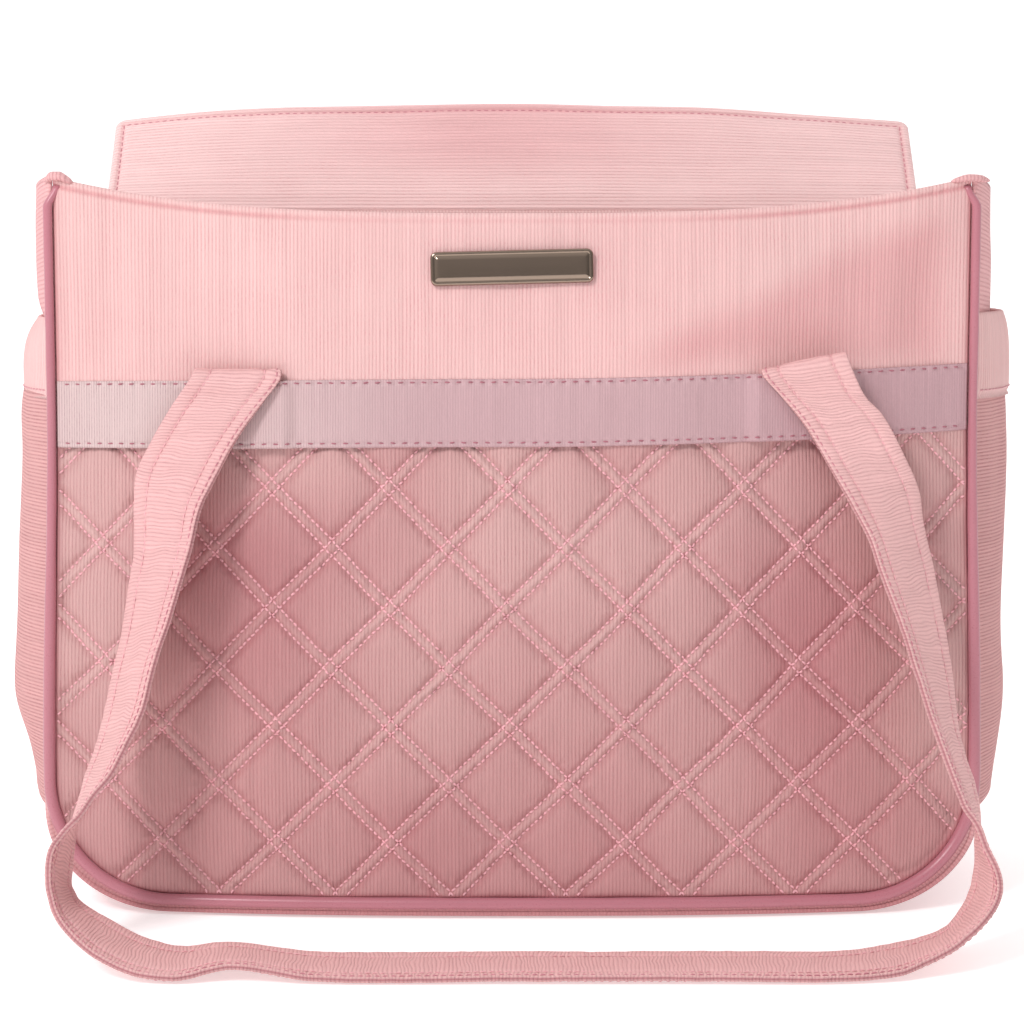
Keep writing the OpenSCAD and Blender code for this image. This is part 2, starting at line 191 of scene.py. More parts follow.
def arc_uv(rings, along):
    """U from along (n,), V from the length round each ring."""
    step = np.linalg.norm(np.diff(np.concatenate([rings, rings[:, :1]], 1), axis=1), axis=2)
    v = np.concatenate([np.zeros((len(rings), 1)), np.cumsum(step, 1)], 1)
    return np.stack([np.repeat(along[:, None], v.shape[1], 1), v], 2)


# ---------------------------------------------------------------- materials

class Nodes:
    """Short names for building the node tree of a material or of the world."""

    def __init__(self, owner):
        owner.use_nodes = True
        self.tree = owner.node_tree
        self.tree.nodes.clear()

    def feed(self, node, socket, value):
        if isinstance(value, bpy.types.NodeSocket):
            self.tree.links.new(value, node.inputs[socket])
        else:
            node.inputs[socket].default_value = value

    def add(self, kind, ins=None, **props):
        node = self.tree.nodes.new(kind)
        for prop, value in props.items():
            setattr(node, prop, value)
        for socket, value in (ins or {}).items():
            self.feed(node, socket, value)
        return node

    def math(self, op, a, b=None, c=None, clamp=False):
        ins = {socket: value for socket, value in enumerate((a, b, c)) if value is not None}
        return self.add("ShaderNodeMath", ins, operation=op, use_clamp=clamp).outputs[0]

    def noise(self, place, scale, detail=2.0, rough=0.5):
        ins = {"Vector": place, "Scale": scale, "Detail": detail, "Roughness": rough}
        return self.add("ShaderNodeTexNoise", ins).outputs["Fac"]

    def mapping(self, place, scale):
        return self.add("ShaderNodeMapping", {"Vector": place, "Scale": scale}).outputs[0]

    def mix(self, share, a, b, blend="MIX"):
        node = self.add("ShaderNodeMix", {0: share}, data_type="RGBA", blend_type=blend)
        for socket, value in ((6, a), (7, b)):
            linked = isinstance(value, bpy.types.NodeSocket)
            self.feed(node, socket, value if linked else (*value[:3], 1))
        return node.outputs[2]

    def ramp(self, value, low, high):
        return self.add("ShaderNodeMapRange", {0: value, 1: low, 2: high, 3: 0.0, 4: 1.0}).outputs[0]

    def swing(self, value, amount, base, middle=0.5):
        """base plus amount times the distance of value from its middle."""
        return self.math("MULTIPLY_ADD", self.math("SUBTRACT", value, middle), amount, base)

    def shaded(self, colour, light):
        grey = self.add("ShaderNodeCombineColor", {0: light, 1: light, 2: light}).outputs[0]
        return self.mix(1.0, colour, grey, "MULTIPLY")

    def bump(self, height, depth):
        """Normal of a relief that is depth mm deep."""
        ins = {"Strength": 1.0, "Distance": depth * 0.001, "Height": height}
        return self.add("ShaderNodeBump", ins).outputs[0]

    def surface(self, ins):
        shader = self.add("ShaderNodeBsdfPrincipled", ins)
        self.add("ShaderNodeOutputMaterial", {0: shader.outputs[0]})


WEFT = 0.0004       # spacing of the threads across the ribs, in metres


def ribbed(name, colour, groove_shade, deep=None, pitch=0.00155, depth=0.22, rough=0.88, sheen=0.2,
           streak=0.10, blotch=0.05, groove_share=0.55, spec=0.2):
    """Ribbed cloth. The ribs follow U in metres and run along V. deep is its colour where tint is 1."""
    mat = bpy.data.materials.new(name)
    n = Nodes(mat)
    uv = n.add("ShaderNodeUVMap", uv_map="UVMap").outputs[0]
    place = n.add("ShaderNodeTexCoord").outputs["Object"]
    tint = n.add("ShaderNodeAttribute", attribute_name="tint").outputs["Fac"]
    u, v = n.add("ShaderNodeSeparateXYZ", {0: uv}).outputs[:2]
    # slow wander of the ribs
    wander = n.noise(n.mapping(uv, (160, 22, 1)), 1.0)
    phase = n.math("MULTIPLY", n.swing(wander, pitch * 0.6, u), math.pi / pitch)
    rib = n.math("POWER", n.math("ABSOLUTE", n.math("SINE", phase)), 0.7)
    # every rib differs a little, and breaks up along its length
    per_rib = n.noise(n.mapping(uv, (0.9 / pitch, 9, 1)), 1.0, 3.0, 0.65)
    slub = n.noise(n.mapping(uv, (0.75 / pitch, 520, 1)), 1.0, 3.0, 0.65)
    faint = n.noise(place, 55)
    weft = n.math("ABSOLUTE", n.math("SINE", n.math("MULTIPLY", v, math.pi / WEFT)))
    fuzz = n.noise(place, 3200, 2.0, 0.6)
    broad = n.noise(place, 14)
    # colour: painted shade in the grooves between the ribs, deeper where the cloth is creased open, and all
    # but fading elsewhere
    keep = n.math("MULTIPLY_ADD", slub, 1.5, -0.25, clamp=True)
    keep = n.math("MULTIPLY", keep, n.math("MULTIPLY_ADD", faint, 1.6, 0.1))
    keep = n.math("MULTIPLY", keep, 2 * groove_share)
    groove = n.math("MULTIPLY", n.math("SUBTRACT", 1.0, rib), keep, clamp=True)
    cloth = n.mix(groove, colour, groove_shade)
    if deep:
        cloth = n.mix(tint, cloth, deep)
    light = n.swing(per_rib, 2 * streak, 1.0)
    light = n.swing(broad, 2 * blotch, light)
    light = n.swing(fuzz, 0.22, light)
    light = n.swing(slub, 0.16, light)
    light = n.swing(weft, 0.05, light, 0.6)
    height = n.math("MULTIPLY", rib, n.math("MULTIPLY_ADD", slub, 0.9, 0.35))
    height = n.math("MULTIPLY_ADD", weft, 0.14, height)
    height = n.math("MULTIPLY_ADD", fuzz, 0.30, height)
    n.surface({"Base Color": n.shaded(cloth, light), "Roughness": rough, "Specular IOR Level": spec,
               "Sheen Weight": sheen, "Sheen Roughness": 0.5, "Sheen Tint": (*colour, 1),
               "Normal": n.bump(height, depth)})
    return mat


def plain(name, colour, rough=0.6, metal=0.0, sheen=0.0, bump=0.1, scale=900, vary=0.06,
          stretch=(1, 1, 1)):
    """Plain surface with fine grain and slow colour variation."""
    mat = bpy.data.materials.new(name)
    n = Nodes(mat)
    place = n.add("ShaderNodeTexCoord").outputs["Object"]
    fine = n.noise(n.mapping(place, stretch), scale, 3.0, 0.6)
    light = n.swing(n.noise(place, 20), 2 * vary, 1.0)
    light = n.swing(fine, 2 * vary, light)
    n.surface({"Base Color": n.shaded(colour, light), "Roughness": n.swing(fine, 0.2, rough),
               "Metallic": metal, "Sheen Weight": sheen, "Normal": n.bump(fine, bump)})
    return mat


CLOTH = ribbed("ribbed_cloth", lin(227, 188, 186), lin(202, 138, 142), lin(205, 138, 142), depth=0.2,
               streak=0.14)
FLAP = ribbed("flap_cloth", lin(244, 207, 206), lin(210, 156, 158), lin(226, 172, 174), pitch=0.00175,
              streak=0.14)
SIDE = ribbed("side_cloth", lin(224, 174, 175), lin(188, 126, 131), lin(182, 120, 124), depth=0.24,
              groove_share=0.6)
POCKET = ribbed("pocket_cloth", lin(211, 161, 160), lin(172, 114, 118), depth=0.28, groove_share=0.8,
                streak=0.14)
QUILT = ribbed("quilted_cloth", lin(212, 174, 171), lin(178, 128, 129), lin(172, 106, 112), depth=0.26,
               blotch=0.08, groove_share=0.6, streak=0.13)
STRAP = ribbed("strap_cloth", lin(232, 185, 184), lin(198, 146, 149), lin(186, 120, 128), depth=0.28,
               groove_share=0.6, streak=0.14)
RIBBON = ribbed("ribbon_grosgrain", lin(208, 183, 182), lin(170, 138, 142), lin(186, 148, 154),
                pitch=0.0011, depth=0.12, rough=0.45, sheen=0.1, streak=0.14, blotch=0.06, spec=0.5,
                groove_share=0.8)
LINING = ribbed("lining_cloth", lin(238, 215, 210), lin(222, 196, 192), pitch=0.0006, depth=0.06,
                streak=0.04)
PIPING = plain("piping_satin", lin(182, 115, 127), rough=0.3, sheen=0.1, bump=0.03, scale=1500,
               vary=0.05)
THREAD = plain("thread_pink", lin(236, 178, 186), rough=0.45, bump=0.05, scale=4000, vary=0.16)
THREAD_DEEP = plain("thread_deep", lin(204, 134, 146), rough=0.5, bump=0.05, scale=4000, vary=0.12)
THREAD_MAUVE = plain("thread_mauve", lin(172, 104, 118), rough=0.5, bump=0.05, scale=4000, vary=0.12)
METAL = plain("dark_nickel", lin(146, 128, 115), rough=0.16, metal=1.0, bump=0.01, scale=700, vary=0.05,
              stretch=(1, 1, 9))
STEEL = plain("steel", lin(150, 148, 145), rough=0.35, metal=1.0, bump=0.02)
BOARD = plain("board", lin(90, 86, 82), bump=0.06, scale=500)


# ---------------------------------------------------------------- the bag's shape

def across(x):
    """1 in the middle of the bag and 0 at its sides."""
    return 1 - np.minimum(np.abs(x) / HALF_W, 1) ** 2.6


def front_f(x, z):
    """Distance of the front from the middle plane, without relief."""
    return HALF_D + across(x) * (15 + 11 * np.sin(np.pi * z / 300))


def back_f(x, z):
    return HALF_D + across(x) * (15 + 7.7 * np.sin(np.pi * z / 300) - 11 * (z / 300) ** 4)


def front_rim(x):
    return RIM_CORNER - RIM_SAG * (1 - np.minimum(np.abs(x) / HALF_W, 1) ** 3)


def edge_d(x, z):
    """Distance inward from the seam with the gusset."""
    qx, qz = np.abs(x) - ARC_X, SEAM_Z + CORNER_R - z
    straight = np.minimum(HALF_W - np.abs(x), z - SEAM_Z)
    return np.where((qx > 0) & (qz > 0), CORNER_R - np.hypot(qx, qz), straight)


def low_z(x, inset):
    """Height of a panel's lower edge, inset from the seam."""
    r = CORNER_R - inset
    dx = np.clip(np.abs(x) - ARC_X, 0, r)
    return SEAM_Z + inset + r - np.sqrt(np.maximum(r * r - dx * dx, 0))


def ribbon_dz(x):
    """The ribbon runs up a little to the right and down to the left."""
    t = x / HALF_W
    return 5.6 * np.maximum(t, 0) ** 1.6 - 2.2 * np.maximum(-t, 0) ** 1.6


# Quilting: crossings are CELL_W apart across and CELL_H up, counted from (QUILT_X, QUILT_Z). Each
# line is a double row of stitches, ROW_OFF to either side of its middle.
CELL_W, CELL_H, QUILT_X, QUILT_Z = 49.0, 50.6, -1.5, 183.6
LINE_PITCH = CELL_W * CELL_H / math.hypot(CELL_W, CELL_H)
ROW_OFF = 2.2
QUILT_DEPTH = 3.2


def quilt_wander(x, z):
    """Distance by which the stitch rows wander from straight lines."""
    return 1.2 * noise(x / 40, z / 40, 5)


def quilt_cells(x, z):
    """Cell numbers in the two families of stitch rows, and distances from their nearest rows."""
    x = x * flare(z)
    wander = quilt_wander(x, z)
    a = (x + wander - QUILT_X) / CELL_W + (z - QUILT_Z) / CELL_H
    b = (x + wander - QUILT_X) / CELL_W - (z - QUILT_Z) / CELL_H
    da = np.abs(a - np.round(a)) * LINE_PITCH - ROW_OFF
    db = np.abs(b - np.round(b)) * LINE_PITCH - ROW_OFF
    return a, b, da, db


def puff(d):
    """Share of the pillows' full height at distance d from a row."""
    return np.where(d > 0, 1 - np.exp(-np.maximum(d, 0) / 3.5), 0.0)


def quilt(x, z):
    """Height of the quilted relief, 0 on the pillows' tops and below 0 at the stitching."""
    a, b, da, db = quilt_cells(x, z)
    cell = noise(np.floor(a) * 7.3 + 0.5, np.floor(b) * 5.1 + 0.5, 9)
    h = QUILT_DEPTH * (puff(da) * puff(db) - 1) + 0.6 * cell * puff(da) * puff(db)
    # low ridge between the two rows, and a nick at each row
    for d in (da, db):
        h = h + 1.35 * bell((d + ROW_OFF) / 1.8) * (d < 1) - 0.4 * bell(d / 0.6)
    # puckers where the thread pulls
    near = bell(np.minimum(np.abs(da), np.abs(db)) / 4.5)
    h = h + 0.42 * near * noise(x / 2.1, z / 2.4, 11) + 0.30 * near * noise(x / 1.2 + 9, z / 1.3, 12)
    # drag lines that run out from the crossings into the pillows
    pull = bell((np.abs(da) + np.abs(db)) / 11)
    return h + 0.6 * pull * noise(x / 5.5 + 4, z / 3.2, 13)


def seam_turn(x, z):
    """Depth to which the cloth turns down into the side seam."""
    return 1.2 * np.exp(-np.maximum(edge_d(x, z) - 1.8, 0) / 2.6)


# Painted shade where the cloth turns down into the side seam, 1 at the seam.
def seam_shade(x, z):
    return np.exp(-np.maximum(edge_d(x, z) - 2.2, 0) / 0.9)


def quilt_tint(x, z):
    """Depth of colour of the quilted cloth: painted shade just outside the stitch rows, beside the handles,
    towards the bottom and in the side seams, the pillows a little deeper than the bands between the rows,
    and broad patches of tone that varies at random.
    """
    da, db = quilt_cells(x, z)[2:]
    inside = np.minimum(da, db)
    # painted shade just outside each double row of stitches; the pillows are a little deeper than the bands
    # between the rows
    edge = 0.14 * bell((inside - 1.0) / 1.5) + 0.14 * ease((inside + 0.6) / 1.6)
    patch = 0.5 + 0.5 * noise(x / 44 + 5, z / 40 + 2, 14)
    # painted shadow of the handles, beside their inner edges
    darker_patch = (0.48 * bell((x + 106) / 46) + 0.57 * bell((x - 122) / 42)) * bell((z - 124) / 60)
    # painted shade, darker towards the bottom
    darker_patch = darker_patch + 0.26 * ease((90 - z) / 70)
    return np.clip(edge + 0.26 * patch ** 1.5 + darker_patch + seam_shade(x, z), 0, 1)


def soft(x, z):
    """Slow undulation of the front, outward positive."""
    h = 1.3 * noise(x / 62 + 3.3, z / 58 + 1.7, 21) + 0.5 * noise(x / 23, z / 27, 22)
    return h * ease(edge_d(x, z) / 30)


def fold_drop(x, z):
    """Distance below the soft diagonal fold on the right of the upper front."""
    ridge = 240 + 30 * np.tanh((x - 52) / 42) + 0.45 * np.maximum(x - 100, 0)
    return (ridge - z) * 0.85


def upper_window(x, z):
    """1 on the upper front, fading to 0 at its edges."""
    return ease((z - 224) / 22) * ease((edge_d(x, z) - 2) / 22) * ease((front_rim(x) - z) / 24)


def slack(x, z):
    """Diagonal slack on the right of the upper front, and a few small drags."""
    below = fold_drop(x, z)
    h = (2.2 * bell(below / 30) - 4.6 * ease((below + 6) / 46)) * ease((x - 20) / 50)
    h = h + 1.6 * bell((x - 156 - (z - 262) * 0.18) / 11) * ease((292 - z) / 24)
    drag = (x - 190) * 0.50 + (z - 300) * 0.86
    h = h + 0.9 * bell((x - 165) / 60) * np.sin(drag / 13.0 + 0.8)
    h = h + 0.9 * bell((x + 160) / 45) * noise(x / 14, z / 70, 31)
    return h * upper_window(x, z)


def rim_groove(x, z):
    """Line pressed in just under the front rim, faint in the middle."""
    return bell((front_rim(x) - z - 3.4) / 0.9) * (0.3 + 0.7 * ease((np.abs(x) - 60) / 60))


def top_tint(x, z):
    """Depth of colour of the upper front: painted shade under the fold, in the groove under the rim and in
    the side seams, and broad patches of tone that varies at random.
    """
    # painted shade below the soft diagonal fold
    shade = 0.42 * ease((fold_drop(x, z) + 4) / 18) * ease((x - 24) / 40) * upper_window(x, z)
    patch = 0.14 * (0.5 + 0.5 * noise(x / 60, z / 50, 34))
    # painted shade in the groove under the rim and in the side seams
    return np.clip(shade + 0.55 * rim_groove(x, z) + seam_shade(x, z) + patch, 0, 1)


def front_relief(x, z):
    """Height of the cloth over front_f."""
    lower = ease((SPLIT_Z - 6 - z) / 8)
    h = soft(x, z) + lower * quilt(x, z) * ease((edge_d(x, z) - 2.2) / 3.6) + slack(x, z)
    # gathers where the rim turns into the side seam
    gather = bell((np.abs(x) - 176) / 14) * bell((front_rim(x) - z) / 9)
    h = h + 0.5 * gather * noise(x / 2.4, z / 30, 33)
    return h - rim_groove(x, z) - seam_turn(x, z)


def front_point(x, z, off=0.0):
    x, z = np.broadcast_arrays(np.asarray(x, float), np.asarray(z, float))
    return np.stack([x, -(front_f(x, z) + front_relief(x, z) + off), z], -1)


# ---------------------------------------------------------------- stitches and panels

def on_surface(surface, u, v, off=0.0, dv=0.4):
    """Points of surface(u, v, off), and its normals there."""
    du = 0.4
    normal = np.cross(surface(u + du, v) - surface(u - du, v), surface(u, v + dv) - surface(u, v - dv))
    return surface(u, v, off), normal / np.linalg.norm(normal, axis=-1, keepdims=True)


def facing(points, x, y):
    """The same normal for every point of a line."""
    return points, np.tile([float(x), float(y), 0.0], (len(points), 1))


def stitched(name, runs, mat, body, length=2.6, gap=0.9, r=0.24, marks=None):
    """Thread stitches along runs of closely spaced points and their normals.

    marks, a list, is filled with how far along its run each vertex lies, from 0 to 1.
    """
    rng = np.random.RandomState(1)
    # a stitch's rings: their places along it and their share of its full thickness
    place = np.array([0.0, 0.12, 0.35, 0.65, 0.88, 1.0])
    girth = np.array([0.3, 0.8, 1.0, 1.0, 0.8, 0.3])
    sides, last = 6, len(place) - 1
    turn = 2 * np.pi * np.arange(sides) / sides
    ring, corner = np.meshgrid(np.arange(last), np.arange(sides), indexing="ij")
    after = (corner + 1) % sides
    quad = np.stack([ring * sides + corner, ring * sides + after,
                     (ring + 1) * sides + after, (ring + 1) * sides + corner], -1)
    verts, faces, count = [], [], 0
    for points, normals in runs:
        s = length_along(points)
        number = int(s[-1] // (length + gap))
        if number < 1:
            continue
        pitch = s[-1] / number
        t = np.arange(number)[:, None] * pitch + gap / 2 + (pitch - gap) * place[None]
        out = between(s, normals, t)
        out /= np.linalg.norm(out, axis=-1, keepdims=True)
        ahead = between(s, points, np.minimum(t + 0.4, s[-1])) - between(s, points, np.maximum(t - 0.4, 0))
        side = np.cross(ahead, out)
        side /= np.linalg.norm(side, axis=-1, keepdims=True)
        lift = r * (1.1 * np.sin(np.pi * place) - 0.35)[None, :, None]
        skew = side * (rng.uniform(-0.16, 0.16, (number, 1, 1)) * (place - 0.5)[None, :, None] * 2)
        round_it = (side[:, :, None] * np.cos(turn)[None, None, :, None]
                    + out[:, :, None] * np.sin(turn)[None, None, :, None])
        middle = (between(s, points, t) + out * lift + skew)[:, :, None]
        verts.append((middle + round_it * (r * girth)[None, :, None, None]).reshape(-1, 3))
        if marks is not None:
            marks.extend(np.repeat(t.ravel() / s[-1], sides))
        starts = count + np.arange(number) * len(place) * sides
        faces += (starts[:, None, None, None] + quad[None]).reshape(-1, 4).tolist()
        for start in starts.tolist():
            faces.append([start + k for k in range(sides - 1, -1, -1)])
            faces.append([start + last * sides + k for k in range(sides)])
        count += number * len(place) * sides
    return put(name, np.concatenate(verts), faces, None, mat, body)


EDGE_R = 1.7        # rounding of a panel's turned upper edge


def panel(name, point, xs, z_low, z_high, rows, thick, mat, side, round_top=True, tint=None):
    """Padded panel. point(x, z, off) is its outer face; side is -1 at the front, 1 at the back."""
    if side > 0:
        xs = xs[::-1]
    x, low, high = xs[:, None], z_low(xs)[:, None], z_high(xs)[:, None]
    z = low + (high - EDGE_R * round_top - low) * np.linspace(0, 1, rows)[None]
    top = z[:, -1:]
    grids, vs = [point(x, z)], [z]
    if round_top:
        a = np.radians(np.linspace(15, 165, 7))[None]
        arc = point(x + 0 * a, top + 0 * a, EDGE_R * (np.cos(a) - 1))
        arc[..., 2] += EDGE_R * np.sin(a)
        grids.append(arc)
        vs.append(top + EDGE_R * a)
    # the inner face, drawn in towards the turned edge
    back_z = low + (top - low) * np.linspace(1, 0, 14)[None]
    under = thick - (thick - 2 * EDGE_R) * ease((back_z - (high - 16)) / 16) * round_top
    face = front_f if side < 0 else back_f
    grids.append(grid(x, side * (face(x, back_z) - under), back_z))
    vs.append(top + 5.3 + (top - back_z))
    rings = np.concatenate(grids, 1)
    vs.append(vs[-1][:, -1:] + 6)
    uv = np.stack(np.broadcast_arrays(x, np.concatenate(vs, 1)), 2)
    deep = None
    if tint:
        deep = np.zeros(rings.shape[:2])
        deep[:, :rows] = tint(x, z)
    return loft(name, rings, uv, mat, "bag", deep)


def spread(n):
    """Stations across the panel, closer together at the ends."""
    t = np.linspace(-1, 1, n)
    return (HALF_W - 2.2) * (0.93 * t + 0.07 * t ** 7)


# ---------------------------------------------------------------- front

def front_panels():
    stations = spread(520)
    top = panel("front_top", front_point, stations, lambda x: 0 * x + SPLIT_Z - 3, front_rim,
                150, 6.2, CLOTH, -1, tint=top_tint)
    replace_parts(top, "front_top_panel", "front_top_padding")
    quilted = panel("front_quilted", front_point, stations, lambda x: low_z(x, 2.2),
                    lambda x: 0 * x + SPLIT_Z - 3.2, 270, 6.4, QUILT, -1,
                    round_top=False, tint=quilt_tint)
    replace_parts(quilted, "front_quilted_panel", "quilt_padding")


front_panels()


def quilt_runs():
    """Stitch rows of the quilting, two to a line, cut off at the seams and under the ribbon."""
    runs = []
    z = np.arange(8, RIBBON_LOW + 6, 0.45)
    for slope in (1, -1):
        for n in range(-8, 9):
            for d in (ROW_OFF, -ROW_OFF):
                straight = QUILT_X + CELL_W * (n + d / LINE_PITCH - slope * (z - QUILT_Z) / CELL_H)
                x = straight
                for _ in range(4):
                    x = straight - quilt_wander(x, z)
                x = x / flare(z)
                ok = (np.abs(x) < 191) & (edge_d(x, z) > 2.9) & (z < RIBBON_LOW + ribbon_dz(x) + 1)
                if ok.sum() > 12:
                    runs.append(on_surface(front_point, x[ok], z[ok], 0.12))
    return runs


quilt_thread = stitched("quilt_stitching", quilt_runs(), THREAD, "bag", length=2.1, gap=0.5, r=0.48)

TABS = (-113.0, 120.5)      # middles of the handle ends that lie under a ribbon
ACROSS = np.concatenate([np.linspace(0, 0.2, 14), np.linspace(0.23, 0.85, 12),
                         np.linspace(0.87, 1, 12)])[None]


def ribbon_bump(x):
    """Rise of the ribbon over the handle ends."""
    return 2.6 * np.maximum(ease((25 - np.abs(x - TABS[0])) / 7), ease((25 - np.abs(x - TABS[1])) / 7))


def ribbon_point(x, w, off=0.0):
    """w runs from 0 at the ribbon's lower edge to 1 at its upper edge."""
    z = RIBBON_LOW + RIBBON_W * w + ribbon_dz(x)
    base = front_f(x, z) + soft(x, z) - seam_turn(x, z)
    top, low, middle = (1 - w) * RIBBON_W, w * RIBBON_W, np.sin(np.pi * w)
    h = 0.9 + ribbon_bump(x) + 0.35 * noise(x / 9, w * 1.5, 41) * middle
    h = h + 0.9 * ease((x - 60) / 60) * np.sin((x - 28 * w) / 11.0) * middle * ease((186 - x) / 20)
    # grooves and small puckers at the two stitch rows, and turned-down edges
    pull = 0.3 * np.cos(2 * np.pi * x / 5.4)
    h = h - 0.45 * bell((top - 1.3) / 0.7) - pull * bell((top - 1.3) / 1.6)
    h = h - 0.45 * bell((low - 1.9) / 0.7) - 0.6 * pull * bell((low - 1.9) / 1.6)
    h = h - 0.5 * bell(top / 0.5) - 0.6 * bell(low / 0.6)
    return grid(x, -(base + h + off), z)


def ribbon(name, point, x, tint=None):
    u = x[:, None]
    obj = shell(name, point(u, ACROSS), point(u, ACROSS, -0.9), u, ACROSS * RIBBON_W, RIBBON, tint)
    return obj


def front_ribbon():
    x = np.linspace(-191.4, 191.4, 640)
    # painted shade: the ribbon darkens towards the right, away from the key light
    shade = 0.86 * ease((x + 160) / 150) + 0.14 * ease((x - 60) / 60)
    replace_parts(ribbon("ribbon_front", ribbon_point, x, shade[:, None]), "front_ribbon")
    x = np.arange(-189, 189, 0.6)
    runs = [on_surface(ribbon_point, x, w, dv=0.01) for w in (1 - 1.3 / RIBBON_W, 1.9 / RIBBON_W)]
    thread = stitched("ribbon_stitching", runs, THREAD_MAUVE, "bag", length=2.3, gap=2.6, r=0.3)


front_ribbon()


# ---------------------------------------------------------------- back

def back_point(x, z, off=0.0):
    x, z = np.broadcast_arrays(np.asarray(x, float), np.asarray(z, float))
    h = (1.4 * noise(x / 60 + 7, z / 66, 51) + 0.6 * noise(x / 24, z / 40, 52)) * ease(edge_d(x, z) / 30)
    return np.stack([x, back_f(x, z) + h - seam_turn(x, z) + off, z], -1)


def back_ribbon_point(x, w, off=0.0):
    z = RIBBON_LOW + RIBBON_W * w
    top, low = (1 - w) * RIBBON_W, w * RIBBON_W
    h = 0.9 + 1.35 * ribbon_bump(x) + 0.3 * noise(x / 9, w * 1.5, 42) * np.sin(np.pi * w)
    h = h - 0.45 * bell((top - 1.8) / 0.8) - 0.45 * bell((low - 1.8) / 0.8)
    return grid(x, back_point(x, z)[..., 1] + h + off, z)


def back():
    cloth = panel("back_cloth", back_point, spread(240), lambda x: low_z(x, 2.2),
                  lambda x: 0 * x + BACK_RIM - 1, 120, 6.4, CLOTH, 1)
    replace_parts(cloth, "back_panel", "back_padding")
    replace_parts(ribbon("ribbon_back", back_ribbon_point, np.linspace(191.4, -191.4, 260)), "back_ribbon")
    x = np.arange(188, -188, -0.6)
    runs = [facing(back_ribbon_point(x, w), 0, 1) for w in (1 - 1.8 / RIBBON_W, 1.8 / RIBBON_W)]
    thread = stitched("ribbon_stitching_back", runs, THREAD_MAUVE, "bag", length=3.0, gap=2.2, r=0.26)


back()


# ---------------------------------------------------------------- piping and gusset

OUTLINE_TOP = 296


def outline(top, step):
    """[x, z, outward x, outward z] from the left top round the bottom to the right top."""
    side = np.linspace(top, SEAM_Z + CORNER_R, int((top - SEAM_Z - CORNER_R) / step) + 1)
    a = np.radians(np.linspace(0, 90, int(78 / step) + 1))[1:-1]
    flat = np.linspace(-ARC_X, ARC_X, int(2 * ARC_X / (2 * step)) + 1)
    left = np.concatenate([
        np.stack([0 * side - HALF_W, side, 0 * side - 1, 0 * side], 1),
        np.stack([-ARC_X - CORNER_R * np.cos(a), SEAM_Z + CORNER_R * (1 - np.sin(a)),
                  -np.cos(a), -np.sin(a)], 1)])
    bottom = np.stack([flat, 0 * flat + SEAM_Z, 0 * flat, 0 * flat - 1], 1)
    return np.concatenate([left, bottom, left[::-1] * [-1, 1, -1, 1]])


def piping(name, top, face, side):
    p = outline(top, 2.0)
    s = length_along(p[:, :2])
    # the top ends tuck inward into the corner
    tuck = np.maximum(ease((9 - s) / 9), ease((9 - (s[-1] - s)) / 9))
    r = 1.95 + 0.65 * ease((215 - p[:, 1]) / 130) + 0.08 * noise(s / 9, 0 * s, 61) - 0.3 * tuck
    y = side * (face(p[:, 0], p[:, 1]) + 0.4 - 1.5 * tuck)
    centre = np.stack([p[:, 0] * (1 - 0.020 * tuck), y, p[:, 1]], 1)
    a = 2 * np.pi * np.arange(16) / 16
    out = np.stack([p[:, 2], 0 * s, p[:, 3]], 1)
    ring = out[:, None] * np.cos(a)[None, :, None] + np.array([0, 1, 0.0]) * np.sin(a)[None, :, None]
    rings = centre[:, None] + r[:, None, None] * ring
    obj = loft(name, rings, arc_uv(rings, s), PIPING, "bag")
    return obj


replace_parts(piping("piping_front", RIM_CORNER - 4, front_f, -1), "front_piping_cover", "front_piping_cord")
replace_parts(piping("piping_back", BACK_RIM - 3, back_f, 1), "back_piping_cover", "back_piping_cord")


def side_swell(z, x):
    """Outward swell of the gusset's sides, larger above the pockets."""
    low, high = np.where(x < 0, 8.6, 10), np.where(x < 0, 14.2, 16)
    return low + (high - low) * ease((z - np.where(x < 0, 245, 240)) / np.where(x < 0, 16, 13))


def gusset_shell(name, mat, off, thick, top_drop, edge, rows):
    """Strip round the sides and bottom. off is how far its outer face lies inside the gusset's."""
    p = outline(OUTLINE_TOP, 2.5)
    px, pz, out_x, out_z = (p[:, column][:, None] for column in range(4))
    s = length_along(p[:, :2])[:, None]
    v = np.sin(np.linspace(-1, 1, rows) * np.pi / 2)[None]
    # the top edge slopes from the front rim down to the back rim
    rim = RIM_CORNER - (RIM_CORNER - BACK_RIM) * (v + 1) / 2
    z = pz + ease((pz - 200) / (OUTLINE_TOP - 200)) * (rim - top_drop - OUTLINE_TOP)
    y_front = -(front_f(px, pz) - edge)
    y_back = back_f(px, pz) - edge
    y = y_front + (y_back - y_front) * (v + 1) / 2
    depth = (1 - np.abs(v)) * (y_back - y_front) / 2
    # 0 on the sides and 1 along the bottom
    low = np.clip(-out_z, 0, 1)
    swell = side_swell(z, px) * (1 - v ** 2) * (1 - low)
    swell = swell + (SEAM_Z - 0.4) * (1 - np.exp(-depth / 1.5)) * low
    swell = swell + 2.6 * (1 - np.exp(-depth / 1.3)) * 4 * low * (1 - low)
    waves = 1.0 * noise(s / 45 + 0.5, v * 1.4 + 3, 71) + 0.5 * noise(s / 16, v * 2.2, 72)
    out = swell * (1 if off < 1 else 0.92) + waves * (1 - v ** 4) * (1 - low) - off
    # the outer cloth rolls forward a little under the piping
    if off < 1:
        y = y + np.sign(v) * 11 * ease(low * 2) * (1 - np.exp(-depth / 2.2)) * np.exp(-depth / 20)
    outer, inner = (grid(px + out_x * (out - o), y, z + out_z * (out - o)) for o in (0, thick))
    # painted shade: the outer strip darkens along the bottom, under the bag
    return shell(name, outer, inner, s, y, mat, 0.85 * ease(low))


gusset = gusset_shell("gusset", SIDE, 0.0, 2.0, 0.0, 1.2, 81)
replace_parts(gusset, "left_gusset", "right_gusset", "bottom_gusset")


